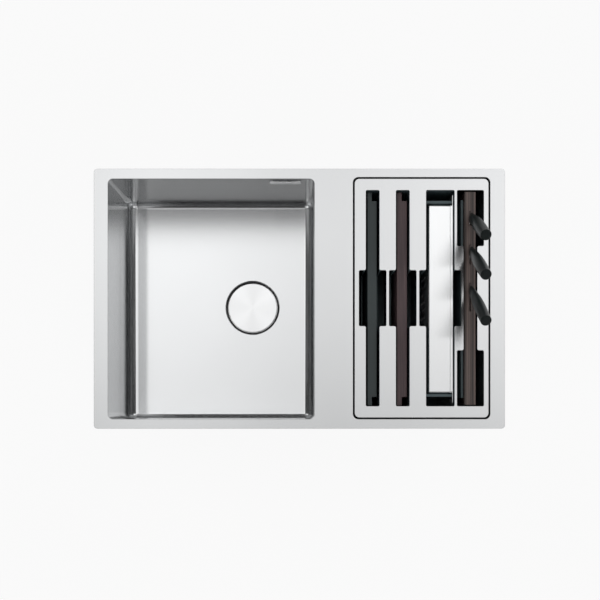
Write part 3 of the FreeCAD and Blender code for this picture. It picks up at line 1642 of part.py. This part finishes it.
def knife(name):
    """One knife: its blade, its swelling handle and the round cap in its butt."""
    blade = doc.addObject("Part::Feature", name + "_blade_solid")
    blade.Shape = blade_shape(name)
    lean(blade, name)
    keep(name + "_blade", blade)

    grip = f"({name}_handle - handle_start)"
    sections = []
    for part, share in HANDLE_SHARES.items():
        own = "handle_" + part
        level = f"handle_start + {grip} * {share}"
        sections.append(oval(f"{name}_{part}", own + "_thick", own + "_breadth", own + "_shift", level))
    sections.append(oval(name + "_butt", "handle_butt_radius", "handle_butt_radius", "0", f"{name}_handle"))
    body = doc.addObject("Part::Loft", name + "_grip")
    body.Sections = sections
    body.Solid = True
    body.Ruled = False
    end = at_level("z", f"{name}_handle")
    root = at_level("z", "handle_start")
    body = rounded(name + "_grip_soft", body, (end, "handle_end_round"), (root, "handle_root_round"))
    tang_room = block(name + "_tang_room", spread("0", "blade_thick"), ("-tang_front", "tang_back"),
                      ("handle_start - overrun", "handle_start + tang_length"))
    cap_room = rod(name + "_cap_room", "cap_radius", "0", "0",
                   (f"{name}_handle - cap_depth", f"{name}_handle + overrun"))
    handle = cut(name + "_handle_solid", body, tang_room, cap_room)
    keep(name + "_handle", lean(handle, name))

    cap_low = f"{name}_handle - cap_depth"
    cap = rod(name + "_cap_disc", "cap_radius", "0", "0", (cap_low, f"{cap_low} + cap_height"))
    cap = rounded(name + "_cap_soft", cap, (circle_of("cap_radius", f"{cap_low} + cap_height"), "cap_round"))
    keep(name + "_cap", lean(cap, name))


# The whole sink

deck_plate()
rim_seal()
main_bowl()
accessory_bowl()
overflow_plate()
overflow_gasket()
overflow_housing()
overflow_nuts()
main_waste()
outlet_fittings()
strainer_basket()
basket_plug()
drain_cover()
waste("small", "box_", box_x, box_y)
worktop_clips()
sound_pads()
insert_plate()
plate_nuts()
organiser()
organiser_rests()
board("black_board", black_x, "black_board_thick")
board("wood_board", wood_x, "wood_board_thick")
colander()
knife_block()
for name in KNIVES:
    knife(name)

doc.recompute()
faults = [item.Label for item in doc.Objects if "Invalid" in item.State or "Error" in item.State]
if faults:
    raise ValueError("failed objects: " + ", ".join(faults))
for node, piece in nodes.items():
    if piece.Shape.isNull() or not piece.Shape.isValid():
        raise ValueError("bad shape: " + node)

os.makedirs("parts", exist_ok=True)
for node, piece in nodes.items():
    piece.Shape.exportStep(f"parts/{node}.step")
print(len(nodes), "sub-parts written")
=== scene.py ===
# %% [markdown]
# # A worktop sink with an accessory bowl
# The sink is drawn in CAD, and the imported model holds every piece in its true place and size.
# This script dresses it with a camera, light, a floor and a finish for each piece. Every length is
# in metres, and z = 0 is the top of the worktop.

import json
import math

import bmesh
import bpy
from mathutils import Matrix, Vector


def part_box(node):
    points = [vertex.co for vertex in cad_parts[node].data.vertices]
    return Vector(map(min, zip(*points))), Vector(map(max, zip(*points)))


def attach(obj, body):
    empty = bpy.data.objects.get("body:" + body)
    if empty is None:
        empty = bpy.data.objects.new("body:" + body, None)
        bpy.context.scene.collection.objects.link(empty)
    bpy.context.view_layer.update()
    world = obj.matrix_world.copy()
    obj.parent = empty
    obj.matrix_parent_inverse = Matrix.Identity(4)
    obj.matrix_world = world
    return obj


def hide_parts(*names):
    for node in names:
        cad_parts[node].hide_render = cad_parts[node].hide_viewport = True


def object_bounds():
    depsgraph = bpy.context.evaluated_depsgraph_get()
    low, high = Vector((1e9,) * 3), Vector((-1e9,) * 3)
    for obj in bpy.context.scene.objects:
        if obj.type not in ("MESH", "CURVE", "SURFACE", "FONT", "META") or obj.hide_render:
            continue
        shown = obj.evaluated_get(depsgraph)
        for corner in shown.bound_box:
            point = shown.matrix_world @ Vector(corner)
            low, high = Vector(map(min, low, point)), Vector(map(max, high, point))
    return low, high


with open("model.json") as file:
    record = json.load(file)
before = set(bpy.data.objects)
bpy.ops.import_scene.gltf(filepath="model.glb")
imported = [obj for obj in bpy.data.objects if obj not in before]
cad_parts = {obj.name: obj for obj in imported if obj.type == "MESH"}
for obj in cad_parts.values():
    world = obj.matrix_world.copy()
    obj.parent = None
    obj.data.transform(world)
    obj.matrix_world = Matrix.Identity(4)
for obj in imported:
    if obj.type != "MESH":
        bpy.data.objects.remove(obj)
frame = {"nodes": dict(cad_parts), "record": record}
nodes = frame["nodes"]
cad_low, cad_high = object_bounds()
scene = bpy.context.scene
print("pieces:", len(nodes), "lowest", tuple(cad_low), "highest", tuple(cad_high))

# %% [markdown]
# ## The camera
# The photograph looks straight down, but from a point in front of the sink: the back wall of the
# bowl shows and the front wall doesn't. A tilted camera would make the deck a trapezium, and it is
# a true rectangle. So the camera hangs level in front of the middle, and its lens is shifted.

# %% Camera
EYE = Vector((0.0012, -0.209, 1.5482))
LENS = 47.07
LENS_SHIFT = 0.1747

camera_data = bpy.data.cameras.new("camera")
camera_data.lens = LENS
camera_data.shift_y = LENS_SHIFT
camera = bpy.data.objects.new("camera", camera_data)
camera.location = EYE
scene.collection.objects.link(camera)
scene.camera = camera
scene.view_settings.view_transform = "Standard"
print("camera", tuple(camera.location), "lens", camera_data.lens)

# %% [markdown]
# ## How node trees are written
# Light and finishes are small trees of nodes. They could be wired by hand in the shader editor,
# but written out, every value can be read and two finishes can share one idea. These helpers make
# a node and feed it in one line.

# %% Helpers for node trees
def plug(tree, socket, value):
    """Feed a socket from another node's output, or set it to a number or colour."""
    if isinstance(value, bpy.types.NodeSocket):
        tree.links.new(value, socket)
    else:
        socket.default_value = value


def node(tree, kind, **inputs):
    """One node of a tree, with its inputs by name."""
    made = tree.nodes.new(kind)
    for name, value in inputs.items():
        plug(tree, made.inputs[name.replace("_", " ")], value)
    return made


def arithmetic(tree, operation, *values, kind="ShaderNodeMath"):
    """One sum of numbers; with the other kind, one of directions."""
    made = tree.nodes.new(kind)
    made.operation = operation
    for socket, value in zip(made.inputs, values):
        plug(tree, socket, value)
    return made.outputs[0]


def steps(tree, factor, stops):
    """A colour ramp; each stop is a place and a grey or a colour."""
    made = tree.nodes.new("ShaderNodeValToRGB")
    tree.links.new(factor, made.inputs["Fac"])
    elements = made.color_ramp.elements
    while len(elements) < len(stops):
        elements.new(1.0)
    for element, (place, tone) in zip(elements, stops):
        element.position = place
        element.color = (*tone, 1) if isinstance(tone, tuple) else (tone, tone, tone, 1)
    return made.outputs["Color"]


print("a node, a sum and a colour ramp each take one line now")

# %% [markdown]
# ## The light
# Steel shows what stands round it, so the room makes most of its look. Lamps would show in the
# deck as bright patches with hard edges, so the room is painted on the sky instead, where each
# light can fade out. Straight above hangs one broad soft light, brighter to the back. Beside it a
# dark cross draws the dark line in the rounded foot of each wall, because the round looks sideways.
# Between the arms of the cross the room is grey and gets lighter in its corners, so that wood and
# plastic are lit from there. At the horizon the room is pale.

# %% Levels of light
# Each pair below is how far a direction leans, from -1 to 1, and how bright the sky is there.
OVERHEAD = 1.3
ACROSS = ((-0.38, 0.03), (-0.29, 1.05), (-0.17, 1.15), (-0.10, 1.10), (-0.02, 1.0), (0.05, 0.98),
          (0.13, 1.0), (0.26, 1.08), (0.41, 1.10), (0.49, 0.03))
ALONG = ((-0.45, 0.03), (-0.30, 0.28), (-0.22, 0.42), (-0.12, 0.58), (-0.03, 0.76), (0.06, 0.83),
         (0.14, 1.0), (0.22, 1.10), (0.32, 1.12), (0.42, 1.0), (0.54, 0.03))
CORNER_LIGHT = 0.85
CORNER = ((-0.52, 1), (-0.46, 0), (0.46, 0), (0.52, 1))
CORNER_FOOT = ((0.34, 0.0), (0.42, 1.0))
ROOM_GREY = 0.75
GREY_ACROSS = ((-0.34, 1), (-0.28, 0), (0.08, 0), (0.14, 1))
GREY_ALONG = ((-0.22, 1), (-0.16, 0), (0.40, 0), (0.46, 1))
BESIDE_ACROSS = ((-0.46, 1), (-0.42, 0), (0.48, 0), (0.52, 1))
BESIDE_ALONG = ((-0.50, 1), (-0.46, 0), (0.54, 0), (0.58, 1))
ROOM_WHITE = 0.95
ROOM_LOW = 0.14
ROOM_RISE = 0.28
print("overhead light", OVERHEAD, "corner lights", CORNER_LIGHT, "grey of the room", ROOM_GREY)

# %% [markdown]
# A direction says how far it leans to the right, to the back and upwards. A colour ramp turns one
# of these into a brightness, and two ramps multiplied make a patch of light with soft edges.

# %% Patches of light
def profile(tree, lean, stops):
    """A brightness that depends on how far a direction leans to one side."""
    factor = arithmetic(tree, "MULTIPLY_ADD", lean, 0.5, 0.5)
    return steps(tree, factor, [((place + 1) / 2, tone) for place, tone in stops])


def patch(tree, lean, across, along):
    """A brightness with one profile from left to right and one from front to back."""
    return arithmetic(tree, "MULTIPLY", profile(tree, lean["X"], across), profile(tree, lean["Y"], along))


print("the overhead light is drawn by", len(ACROSS), "steps across and", len(ALONG), "along")

# %% [markdown]
# The ceiling adds three of these: the overhead light, the corner lights and the grey of the room.
# Near the horizon it gives way to the pale room. The camera itself sees plain white behind the
# sink. More light would give it that too, but then the steel would burn out.

# %% World
world = bpy.data.worlds.new("studio")
scene.world = world
world.use_nodes = True
sky = world.node_tree
direction = node(sky, "ShaderNodeTexCoord").outputs["Generated"]
lean = node(sky, "ShaderNodeSeparateXYZ", Vector=direction).outputs
overhead = arithmetic(sky, "MULTIPLY", patch(sky, lean, ACROSS, ALONG), OVERHEAD)
foot = steps(sky, lean["Z"], CORNER_FOOT)
corners = arithmetic(sky, "MULTIPLY", patch(sky, lean, CORNER, CORNER), foot)
ceiling = arithmetic(sky, "MULTIPLY_ADD", corners, CORNER_LIGHT, overhead)
across = profile(sky, lean["X"], BESIDE_ACROSS)
beside = arithmetic(sky, "MAXIMUM", across, profile(sky, lean["Y"], BESIDE_ALONG))
grey = arithmetic(sky, "MULTIPLY", patch(sky, lean, GREY_ACROSS, GREY_ALONG), beside)
ceiling = arithmetic(sky, "MULTIPLY_ADD", grey, ROOM_GREY, ceiling)
low = steps(sky, lean["Z"], ((ROOM_LOW, 1.0), (ROOM_RISE, 0.0)))
high = arithmetic(sky, "SUBTRACT", 1.0, low)
kept = arithmetic(sky, "MULTIPLY", ceiling, high)
sky_level = arithmetic(sky, "MULTIPLY_ADD", low, ROOM_WHITE, kept)
camera_sees = node(sky, "ShaderNodeLightPath").outputs["Is Camera Ray"]
sky_level = arithmetic(sky, "MAXIMUM", sky_level, camera_sees)
sky.links.new(sky_level, sky.nodes["Background"].inputs["Strength"])
sky.nodes["Background"].inputs["Color"].default_value = (1, 1, 1, 1)
print("nodes in the sky:", len(sky.nodes))

# %% [markdown]
# ## The floor
# A pale floor lies just under the waste pipe and catches the sink's own soft shadow. A plain matte
# floor would render grey. So what the camera and the steel see of it is mostly a glowing white, the
# photograph's background, and a small share stays matte and keeps the shadow.

# %% Floor
FLOOR_GAP = 0.004
FLOOR_SIZE = 14.0
FLOOR_TONE = (0.94, 0.94, 0.94, 1)
SHADOW_SHARE = 0.1

floor_form = bmesh.new()
bmesh.ops.create_grid(floor_form, x_segments=1, y_segments=1, size=FLOOR_SIZE)
bmesh.ops.translate(floor_form, verts=floor_form.verts, vec=(0, 0, cad_low.z - FLOOR_GAP))
floor_mesh = bpy.data.meshes.new("floor")
floor_form.to_mesh(floor_mesh)
floor_form.free()
floor = bpy.data.objects.new("floor", floor_mesh)
scene.collection.objects.link(floor)

floor_finish = bpy.data.materials.new("pale_floor")
floor_finish.use_nodes = True
tree = floor_finish.node_tree
tree.nodes.clear()
rays = node(tree, "ShaderNodeLightPath").outputs
seen = arithmetic(tree, "MAXIMUM", rays["Is Camera Ray"], rays["Is Glossy Ray"])
seen = arithmetic(tree, "MAXIMUM", seen, rays["Is Transmission Ray"])
lift = arithmetic(tree, "MULTIPLY", seen, 1 - SHADOW_SHARE)
matte = node(tree, "ShaderNodeBsdfDiffuse", Color=FLOOR_TONE)
white = node(tree, "ShaderNodeEmission", Color=(1, 1, 1, 1))
blend = node(tree, "ShaderNodeMixShader", Fac=lift)
tree.links.new(matte.outputs[0], blend.inputs[1])
tree.links.new(white.outputs[0], blend.inputs[2])
node(tree, "ShaderNodeOutputMaterial", Surface=blend.outputs[0])
floor_mesh.materials.append(floor_finish)
print("floor at z", round(cad_low.z - FLOOR_GAP, 4))

# %% [markdown]
# ## How a finish is built
# Each finish starts from one shader with its colour, gloss and metal set on it. A pattern then
# makes it look made and used, because no real surface has just one tone.

# %% Plain finish
def shader_of(material):
    """The shader that a finish sets and feeds."""
    return material.node_tree.nodes["Principled BSDF"]


def finish(name, color, roughness, metallic=0.0, **more):
    """A new material with the plain values of its shader."""
    made = bpy.data.materials.new(name)
    made.use_nodes = True
    shader = shader_of(made)
    shader.inputs["Base Color"].default_value = (*color, 1)
    shader.inputs["Roughness"].default_value = roughness
    shader.inputs["Metallic"].default_value = metallic
    for socket, value in more.items():
        shader.inputs[socket.replace("_", " ")].default_value = value
    return made


print("a plain finish takes a colour, a roughness and a share of metal")

# %% [markdown]
# A picture of scratches or grain would have to be unwrapped onto every piece. Noise that reads the
# piece's own place in metres needs no unwrapping, and a scratch is as long on a knife as on the
# deck. The noise can tint the colour, vary the gloss and raise the surface a little.

# %% Patterns on a finish
def noise(material, scale, detail=3.0, rough=0.5):
    """Cloudy noise on the piece's own place; scale is how many grains a metre holds each way."""
    tree = material.node_tree
    place = node(tree, "ShaderNodeTexCoord").outputs["Object"]
    stretched = node(tree, "ShaderNodeMapping", Vector=place, Scale=scale).outputs["Vector"]
    made = node(tree, "ShaderNodeTexNoise", Vector=stretched, Scale=1.0, Detail=detail, Roughness=rough)
    return made.outputs["Fac"]


def tint(material, pattern, *stops):
    """Colour the surface by a pattern."""
    tree = material.node_tree
    tree.links.new(steps(tree, pattern, stops), shader_of(material).inputs["Base Color"])


def gloss(material, pattern, low, high):
    """Let the roughness run between two values with a pattern."""
    tree = material.node_tree
    spread = node(tree, "ShaderNodeMapRange", Value=pattern, To_Min=low, To_Max=high)
    tree.links.new(spread.outputs["Result"], shader_of(material).inputs["Roughness"])


def emboss(material, pattern, height):
    """Raise the surface by a pattern; height is in metres. A second pattern adds to the first."""
    tree = material.node_tree
    bump = node(tree, "ShaderNodeBump", Height=pattern, Strength=1.0, Distance=height)
    normal = shader_of(material).inputs["Normal"]
    if normal.is_linked:
        tree.links.new(normal.links[0].from_socket, bump.inputs["Normal"])
    tree.links.new(bump.outputs["Normal"], normal)


print("a pattern can tint, gloss or emboss a finish")

# %% [markdown]
# ## Brushed steel
# A belt drags grit along the sheet, so the scratches are long one way and a fraction of a
# millimetre wide the other way. They smear a reflection across the brushing and leave it sharp
# along it. Bump alone is too fine to show that at this distance, so the shader is also told which
# way the surface is brushed.

# %% Direction of the brushing
def vectors(tree, operation, *values):
    """One sum of directions or places."""
    return arithmetic(tree, operation, *values, kind="ShaderNodeVectorMath")


def part(tree, vector, axis):
    """One coordinate of a place or a direction."""
    return node(tree, "ShaderNodeSeparateXYZ", Vector=vector).outputs[axis]


def choose(tree, where, here, elsewhere):
    """One fixed direction where a mask is 1, and another direction elsewhere."""
    made = tree.nodes.new("ShaderNodeMix")
    made.data_type = "VECTOR"
    tree.links.new(where, made.inputs[0])
    tree.links.new(elsewhere, made.inputs[4])
    made.inputs[5].default_value = here
    return made.outputs[1]


def smear(material, share, way):
    """Stretch the highlights of a finish along one direction of its surface."""
    shader = shader_of(material)
    shader.inputs["Anisotropic"].default_value = share
    material.node_tree.links.new(way, shader.inputs["Tangent"])


print("directions can be summed, taken apart and chosen")

# %% [markdown]
# The sheet is brushed from left to right. The upright walls of the bowls are brushed level
# instead. Their colour is painted a little darker, as painted shade, and their reflections bend at
# the foot, as if the wall bowed in there. A curved wall in CAD would be the better way. In the CAD
# of this sink the walls are straight, so a soft bump bends the reflection and leaves the shape alone.

# %% Walls of the bowls
# A face is upright when its direction hardly rises, and on a side wall when it looks left or right.
UPRIGHT = 0.04
SIDE_WALL = 0.7
BOW_TOP = -0.107
BOW = 1.4
# Painted shade: the upright walls keep this share of the steel's colour.
WALL_PAINTED_SHADE = 0.72


def bow_in(material, share):
    """Shade a wall as if it curved inwards, more and more below the height where the bow starts."""
    tree = material.node_tree
    height = part(tree, node(tree, "ShaderNodeTexCoord").outputs["Object"], "Z")
    below = arithmetic(tree, "MAXIMUM", arithmetic(tree, "SUBTRACT", BOW_TOP, height), 0.0)
    square = arithmetic(tree, "MULTIPLY", below, below)
    emboss(material, arithmetic(tree, "MULTIPLY", square, share), BOW)


def paint_shade(material, where, tone):
    """Paint shade: darken the colour where a mask is 1."""
    tree = material.node_tree
    base = shader_of(material).inputs["Base Color"]
    share = arithmetic(tree, "MULTIPLY_ADD", where, tone - 1, 1.0)
    shade_scaled = node(tree, "ShaderNodeVectorMath", Vector=base.links[0].from_socket)
    shade_scaled.operation = "SCALE"
    tree.links.new(share, shade_scaled.inputs["Scale"])
    tree.links.new(shade_scaled.outputs["Vector"], base)


print("the walls shade as bowed below", BOW_TOP, "and have", WALL_PAINTED_SHADE, "of the tone")

# %% [markdown]
# A sheet also has faint clouds in its tone, a hand wide, from the rolling. One helper makes every
# brushed steel here, so that the deck, the bowls and the blades look cut from related sheets.

# %% How steel is brushed
ALONG_X = (14, 2600, 2600)
ALONG_Y = (2600, 14, 2600)
SCRATCH_DEPTH = 1e-6
SCRATCH_DETAIL = 4.0
CLOUDS = (9, 9, 9)
CLOUD_TONE = 0.985
BRUSHED_WAY = (1.0, 0.0, 0.06)


def brushed(name, color, roughness, scratch=ALONG_X, way=BRUSHED_WAY, share=0.9, wall=None):
    """Steel brushed one way; wall is the roughness of walls that are brushed level, whose colour also
    gets painted shade.
    """
    made = finish(name, color, roughness, metallic=1.0)
    tree = made.node_tree
    facing = node(tree, "ShaderNodeTexCoord").outputs["Normal"]
    over = vectors(tree, "CROSS_PRODUCT", facing, way)
    scratches = noise(made, scratch, SCRATCH_DETAIL)
    if wall:
        rise = arithmetic(tree, "ABSOLUTE", part(tree, facing, "Z"))
        upright = arithmetic(tree, "LESS_THAN", rise, UPRIGHT)
        sideways = arithmetic(tree, "ABSOLUTE", part(tree, facing, "X"))
        over = choose(tree, upright, (0, 0, 1), over)
        gloss(made, upright, roughness, wall)
        bow_in(made, arithmetic(tree, "MULTIPLY", sideways, upright))
        on_side = arithmetic(tree, "GREATER_THAN", sideways, SIDE_WALL)
        change = arithmetic(tree, "SUBTRACT", noise(made, ALONG_Y, SCRATCH_DETAIL), scratches)
        scratches = arithmetic(tree, "MULTIPLY_ADD", change, on_side, scratches)
    smear(made, share, over)
    emboss(made, scratches, SCRATCH_DEPTH)
    dull = tuple(c * CLOUD_TONE for c in color)
    tint(made, noise(made, CLOUDS, 2.0), (0.3, dull), (0.7, color))
    if wall:
        # Painted shade: the colour of the upright walls is darkened.
        paint_shade(made, upright, WALL_PAINTED_SHADE)
    return made


print("scratches are", SCRATCH_DEPTH, "deep")

# %% [markdown]
# The bowls and the colander are a little brighter than the deck. The clips and screws are dull
# zinc plate, which isn't brushed and only has a fine, even grain.

# %% Steels
STEEL = (0.63, 0.636, 0.642)
finishes = {
    "deck_steel": brushed("deck_steel", STEEL, 0.2),
    "bowl_steel": brushed("bowl_steel", (0.72, 0.728, 0.735), 0.18, share=1.0, wall=0.13),
    "insert_steel": brushed("insert_steel", STEEL, 0.2),
    "colander_steel": brushed("colander_steel", (0.72, 0.725, 0.73), 0.2, ALONG_Y, way=(0, 1, 0)),
    "blade_steel": brushed("blade_steel", (0.62, 0.625, 0.63), 0.22, ALONG_Y, way=(0, 1, 0)),
}
zinc = finish("zinc_steel", (0.5, 0.5, 0.49), 0.35, metallic=1.0)
emboss(zinc, noise(zinc, (160, 160, 160)), 4e-6)
finishes["zinc_steel"] = zinc
print("steels:", ", ".join(finishes))

# %% [markdown]
# ## Spun steel
# The drain cover and the strainers are turned on a lathe, which leaves rings round their middle.
# The rings smear a reflection outwards, so a broad light shows as two bright wedges, one each side.
# Real rings are a few thousandths of a millimetre deep. No mesh could hold them, so they are bump.

# %% Rings of a lathe
RINGS_PER_METRE = 2600
RING_DEPTH = 2e-6


def rings(material, centre, per_metre, detail=4.0):
    """Noise that depends only on how far a point is from an upright axis, as a lathe leaves it."""
    tree = material.node_tree
    place = node(tree, "ShaderNodeTexCoord").outputs["Object"]
    moved = node(tree, "ShaderNodeMapping", Vector=place, Scale=(1, 1, 0))
    moved.inputs["Location"].default_value = (-centre.x, -centre.y, 0)
    radius = node(tree, "ShaderNodeVectorMath", Vector=moved.outputs["Vector"])
    radius.operation = "LENGTH"
    made = tree.nodes.new("ShaderNodeTexNoise")
    made.noise_dimensions = "1D"
    plug(tree, made.inputs["Scale"], per_metre)
    plug(tree, made.inputs["Detail"], detail)
    plug(tree, made.inputs["W"], radius.outputs["Value"])
    return made.outputs["Fac"]


print("rings are", RING_DEPTH, "deep")

# %% Spun steel
cover_low, cover_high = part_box("drain_cover")
drain = (cover_low + cover_high) / 2
spun = finish("drain_steel", (0.79, 0.795, 0.8), 0.22, metallic=1.0)
tree = spun.node_tree
spot = node(tree, "ShaderNodeTexCoord").outputs["Object"]
outward = vectors(tree, "MULTIPLY", vectors(tree, "SUBTRACT", spot, drain), (1, 1, 0))
smear(spun, 0.95, vectors(tree, "NORMALIZE", outward))
emboss(spun, rings(spun, drain, RINGS_PER_METRE), RING_DEPTH)
finishes["drain_steel"] = spun
print("drain at", round(drain.x, 4), round(drain.y, 4))

# %% [markdown]
# ## Rubber, plastic and brass
# Moulded pieces take the texture of their mould: a fine spark-eroded grain on the black organiser,
# a smoother one on the pale waste fittings. Rubber is rougher, and the soft pads are mottled. They
# differ only in grain, height and mottle, so one helper makes them all. Brass is turned, with fine
# lines round it.

# %% Moulded finishes
DRIFT = (35, 35, 35)


def moulded(name, color, roughness, grain, height, mottle=0.06, **more):
    """A moulded piece: so many grains a metre, so high, and a tone that drifts by a share."""
    made = finish(name, color, roughness, **more)
    emboss(made, noise(made, (grain, grain, grain), 2.0), height)
    darker = tuple(c * (1 - mottle) for c in color)
    lighter = tuple(c * (1 + mottle) for c in color)
    tint(made, noise(made, DRIFT, 4.0), (0.3, darker), (0.7, lighter))
    return made


finishes["seal_rubber"] = moulded("seal_rubber", (0.03, 0.03, 0.031), 0.7, 1400, 3e-5)
finishes["pad_rubber"] = moulded("pad_rubber", (0.16, 0.165, 0.17), 0.85, 420, 2e-4, mottle=0.15)
finishes["waste_plastic"] = moulded("waste_plastic", (0.72, 0.72, 0.70), 0.35, 900, 1e-5, mottle=0.02)
finishes["organiser_plastic"] = moulded("organiser_plastic", (0.09, 0.125, 0.135), 0.6, 1500, 3e-5)
finishes["handle_black"] = moulded("handle_black", (0.006, 0.01, 0.01), 0.34, 2400, 4e-6,
                                   Specular_IOR_Level=0.2)
brass = finish("brass", (0.62, 0.45, 0.18), 0.3, metallic=1.0)
emboss(brass, noise(brass, (300, 300, 3000)), 4e-6)
finishes["brass"] = brass
print("finishes so far:", ", ".join(finishes))

# %% [markdown]
# ## Chopping boards
# The black board is pressed from paper and resin: even, with a fine fibre. The brown board is one
# dark plank whose grain runs its length. Both are noise again, drawn out along the board, because
# the camera sees only their edges, where a full model of growth rings would be lost.

# %% Boards
black = finish("board_black", (0.058, 0.072, 0.076), 0.5)
fibre = noise(black, (2400, 500, 900), 5.0, rough=0.7)
tint(black, fibre, (0.25, (0.03, 0.042, 0.044)), (0.75, (0.05, 0.066, 0.068)))
emboss(black, fibre, 3e-5)
finishes["board_black"] = black

wood = finish("board_wood", (0.12, 0.085, 0.085), 0.5)
grain = noise(wood, (260, 7, 120), 6.0, rough=0.65)
tint(wood, grain,
     (0.25, (0.055, 0.033, 0.036)), (0.5, (0.095, 0.06, 0.064)), (0.78, (0.16, 0.105, 0.105)))
emboss(wood, grain, 1e-4)
gloss(wood, grain, 0.42, 0.62)
finishes["board_wood"] = wood
print("boards:", black.name, wood.name)

# %% [markdown]
# ## Knife block
# The block is glued from thin layers, which show on its top as lines from front to back. Smooth
# noise would blur the glue lines. So each layer draws a tone of its own by chance, which steps from
# one layer to the next, and streaks of grain run along it.

# %% Knife block
LAYERS_PER_METRE = 520
LAYER_SHARE = 0.45
STREAK_SHARE = 0.55

layered = finish("block_wood", (0.19, 0.14, 0.12), 0.5)
tree = layered.node_tree
across = part(tree, node(tree, "ShaderNodeTexCoord").outputs["Object"], "X")
layer = arithmetic(tree, "FLOOR", arithmetic(tree, "MULTIPLY", across, LAYERS_PER_METRE))
chance = tree.nodes.new("ShaderNodeTexWhiteNoise")
chance.noise_dimensions = "1D"
tree.links.new(layer, chance.inputs["W"])
streak = arithmetic(tree, "MULTIPLY", noise(layered, (700, 8, 300), 5.0, rough=0.6), STREAK_SHARE)
lines = arithmetic(tree, "MULTIPLY_ADD", chance.outputs["Value"], LAYER_SHARE, streak)
tint(layered, lines,
     (0.25, (0.03, 0.022, 0.02)), (0.5, (0.085, 0.062, 0.055)), (0.75, (0.175, 0.128, 0.112)))
emboss(layered, lines, 1e-4)
finishes["block_wood"] = layered
print("finishes:", len(finishes))

# %% [markdown]
# ## Dressing the CAD pieces
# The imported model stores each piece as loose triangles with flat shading, and it stays as it is.
# So each piece is copied, the copy's points are merged, and its faces are shaded smooth except at
# real edges. Then its rounds reflect as one surface, with no more triangles than before. The copy
# rides on the same moving body as the piece.

# %% Finish every piece
POINT_MERGE = 1e-5
CREASE = math.radians(32)
SLIGHT = math.radians(1)
record = frame["record"]
finish_of = {row["node"]: row["material_slot"] for row in record["subparts"]}
body_of = {piece: body for body, pieces in record["behaviour"]["bodies"].items() for piece in pieces}


def smooth_copy(name):
    """A merged copy of a CAD piece that is shaded smooth between its creases, in the piece's stead."""
    form = bmesh.new()
    form.from_mesh(nodes[name].data)
    bmesh.ops.remove_doubles(form, verts=form.verts, dist=POINT_MERGE)
    for face in form.faces:
        face.smooth = True
    rounded = 0
    for edge in form.edges:
        angle = edge.calc_face_angle(math.pi) if len(edge.link_faces) == 2 else math.pi
        edge.smooth = angle < CREASE
        rounded += SLIGHT < angle < CREASE
    mesh = bpy.data.meshes.new(name + "_smooth")
    form.to_mesh(mesh)
    form.free()
    piece = bpy.data.objects.new(name + "_smooth", mesh)
    scene.collection.objects.link(piece)
    weights = piece.modifiers.new("even_shading", "WEIGHTED_NORMAL")
    weights.keep_sharp = True
    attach(piece, body_of[name])
    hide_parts(name)
    mesh.materials.append(finishes[finish_of[name]])
    return rounded, len(mesh.polygons)


for name in sorted(nodes):
    print(name, finish_of[name], smooth_copy(name))
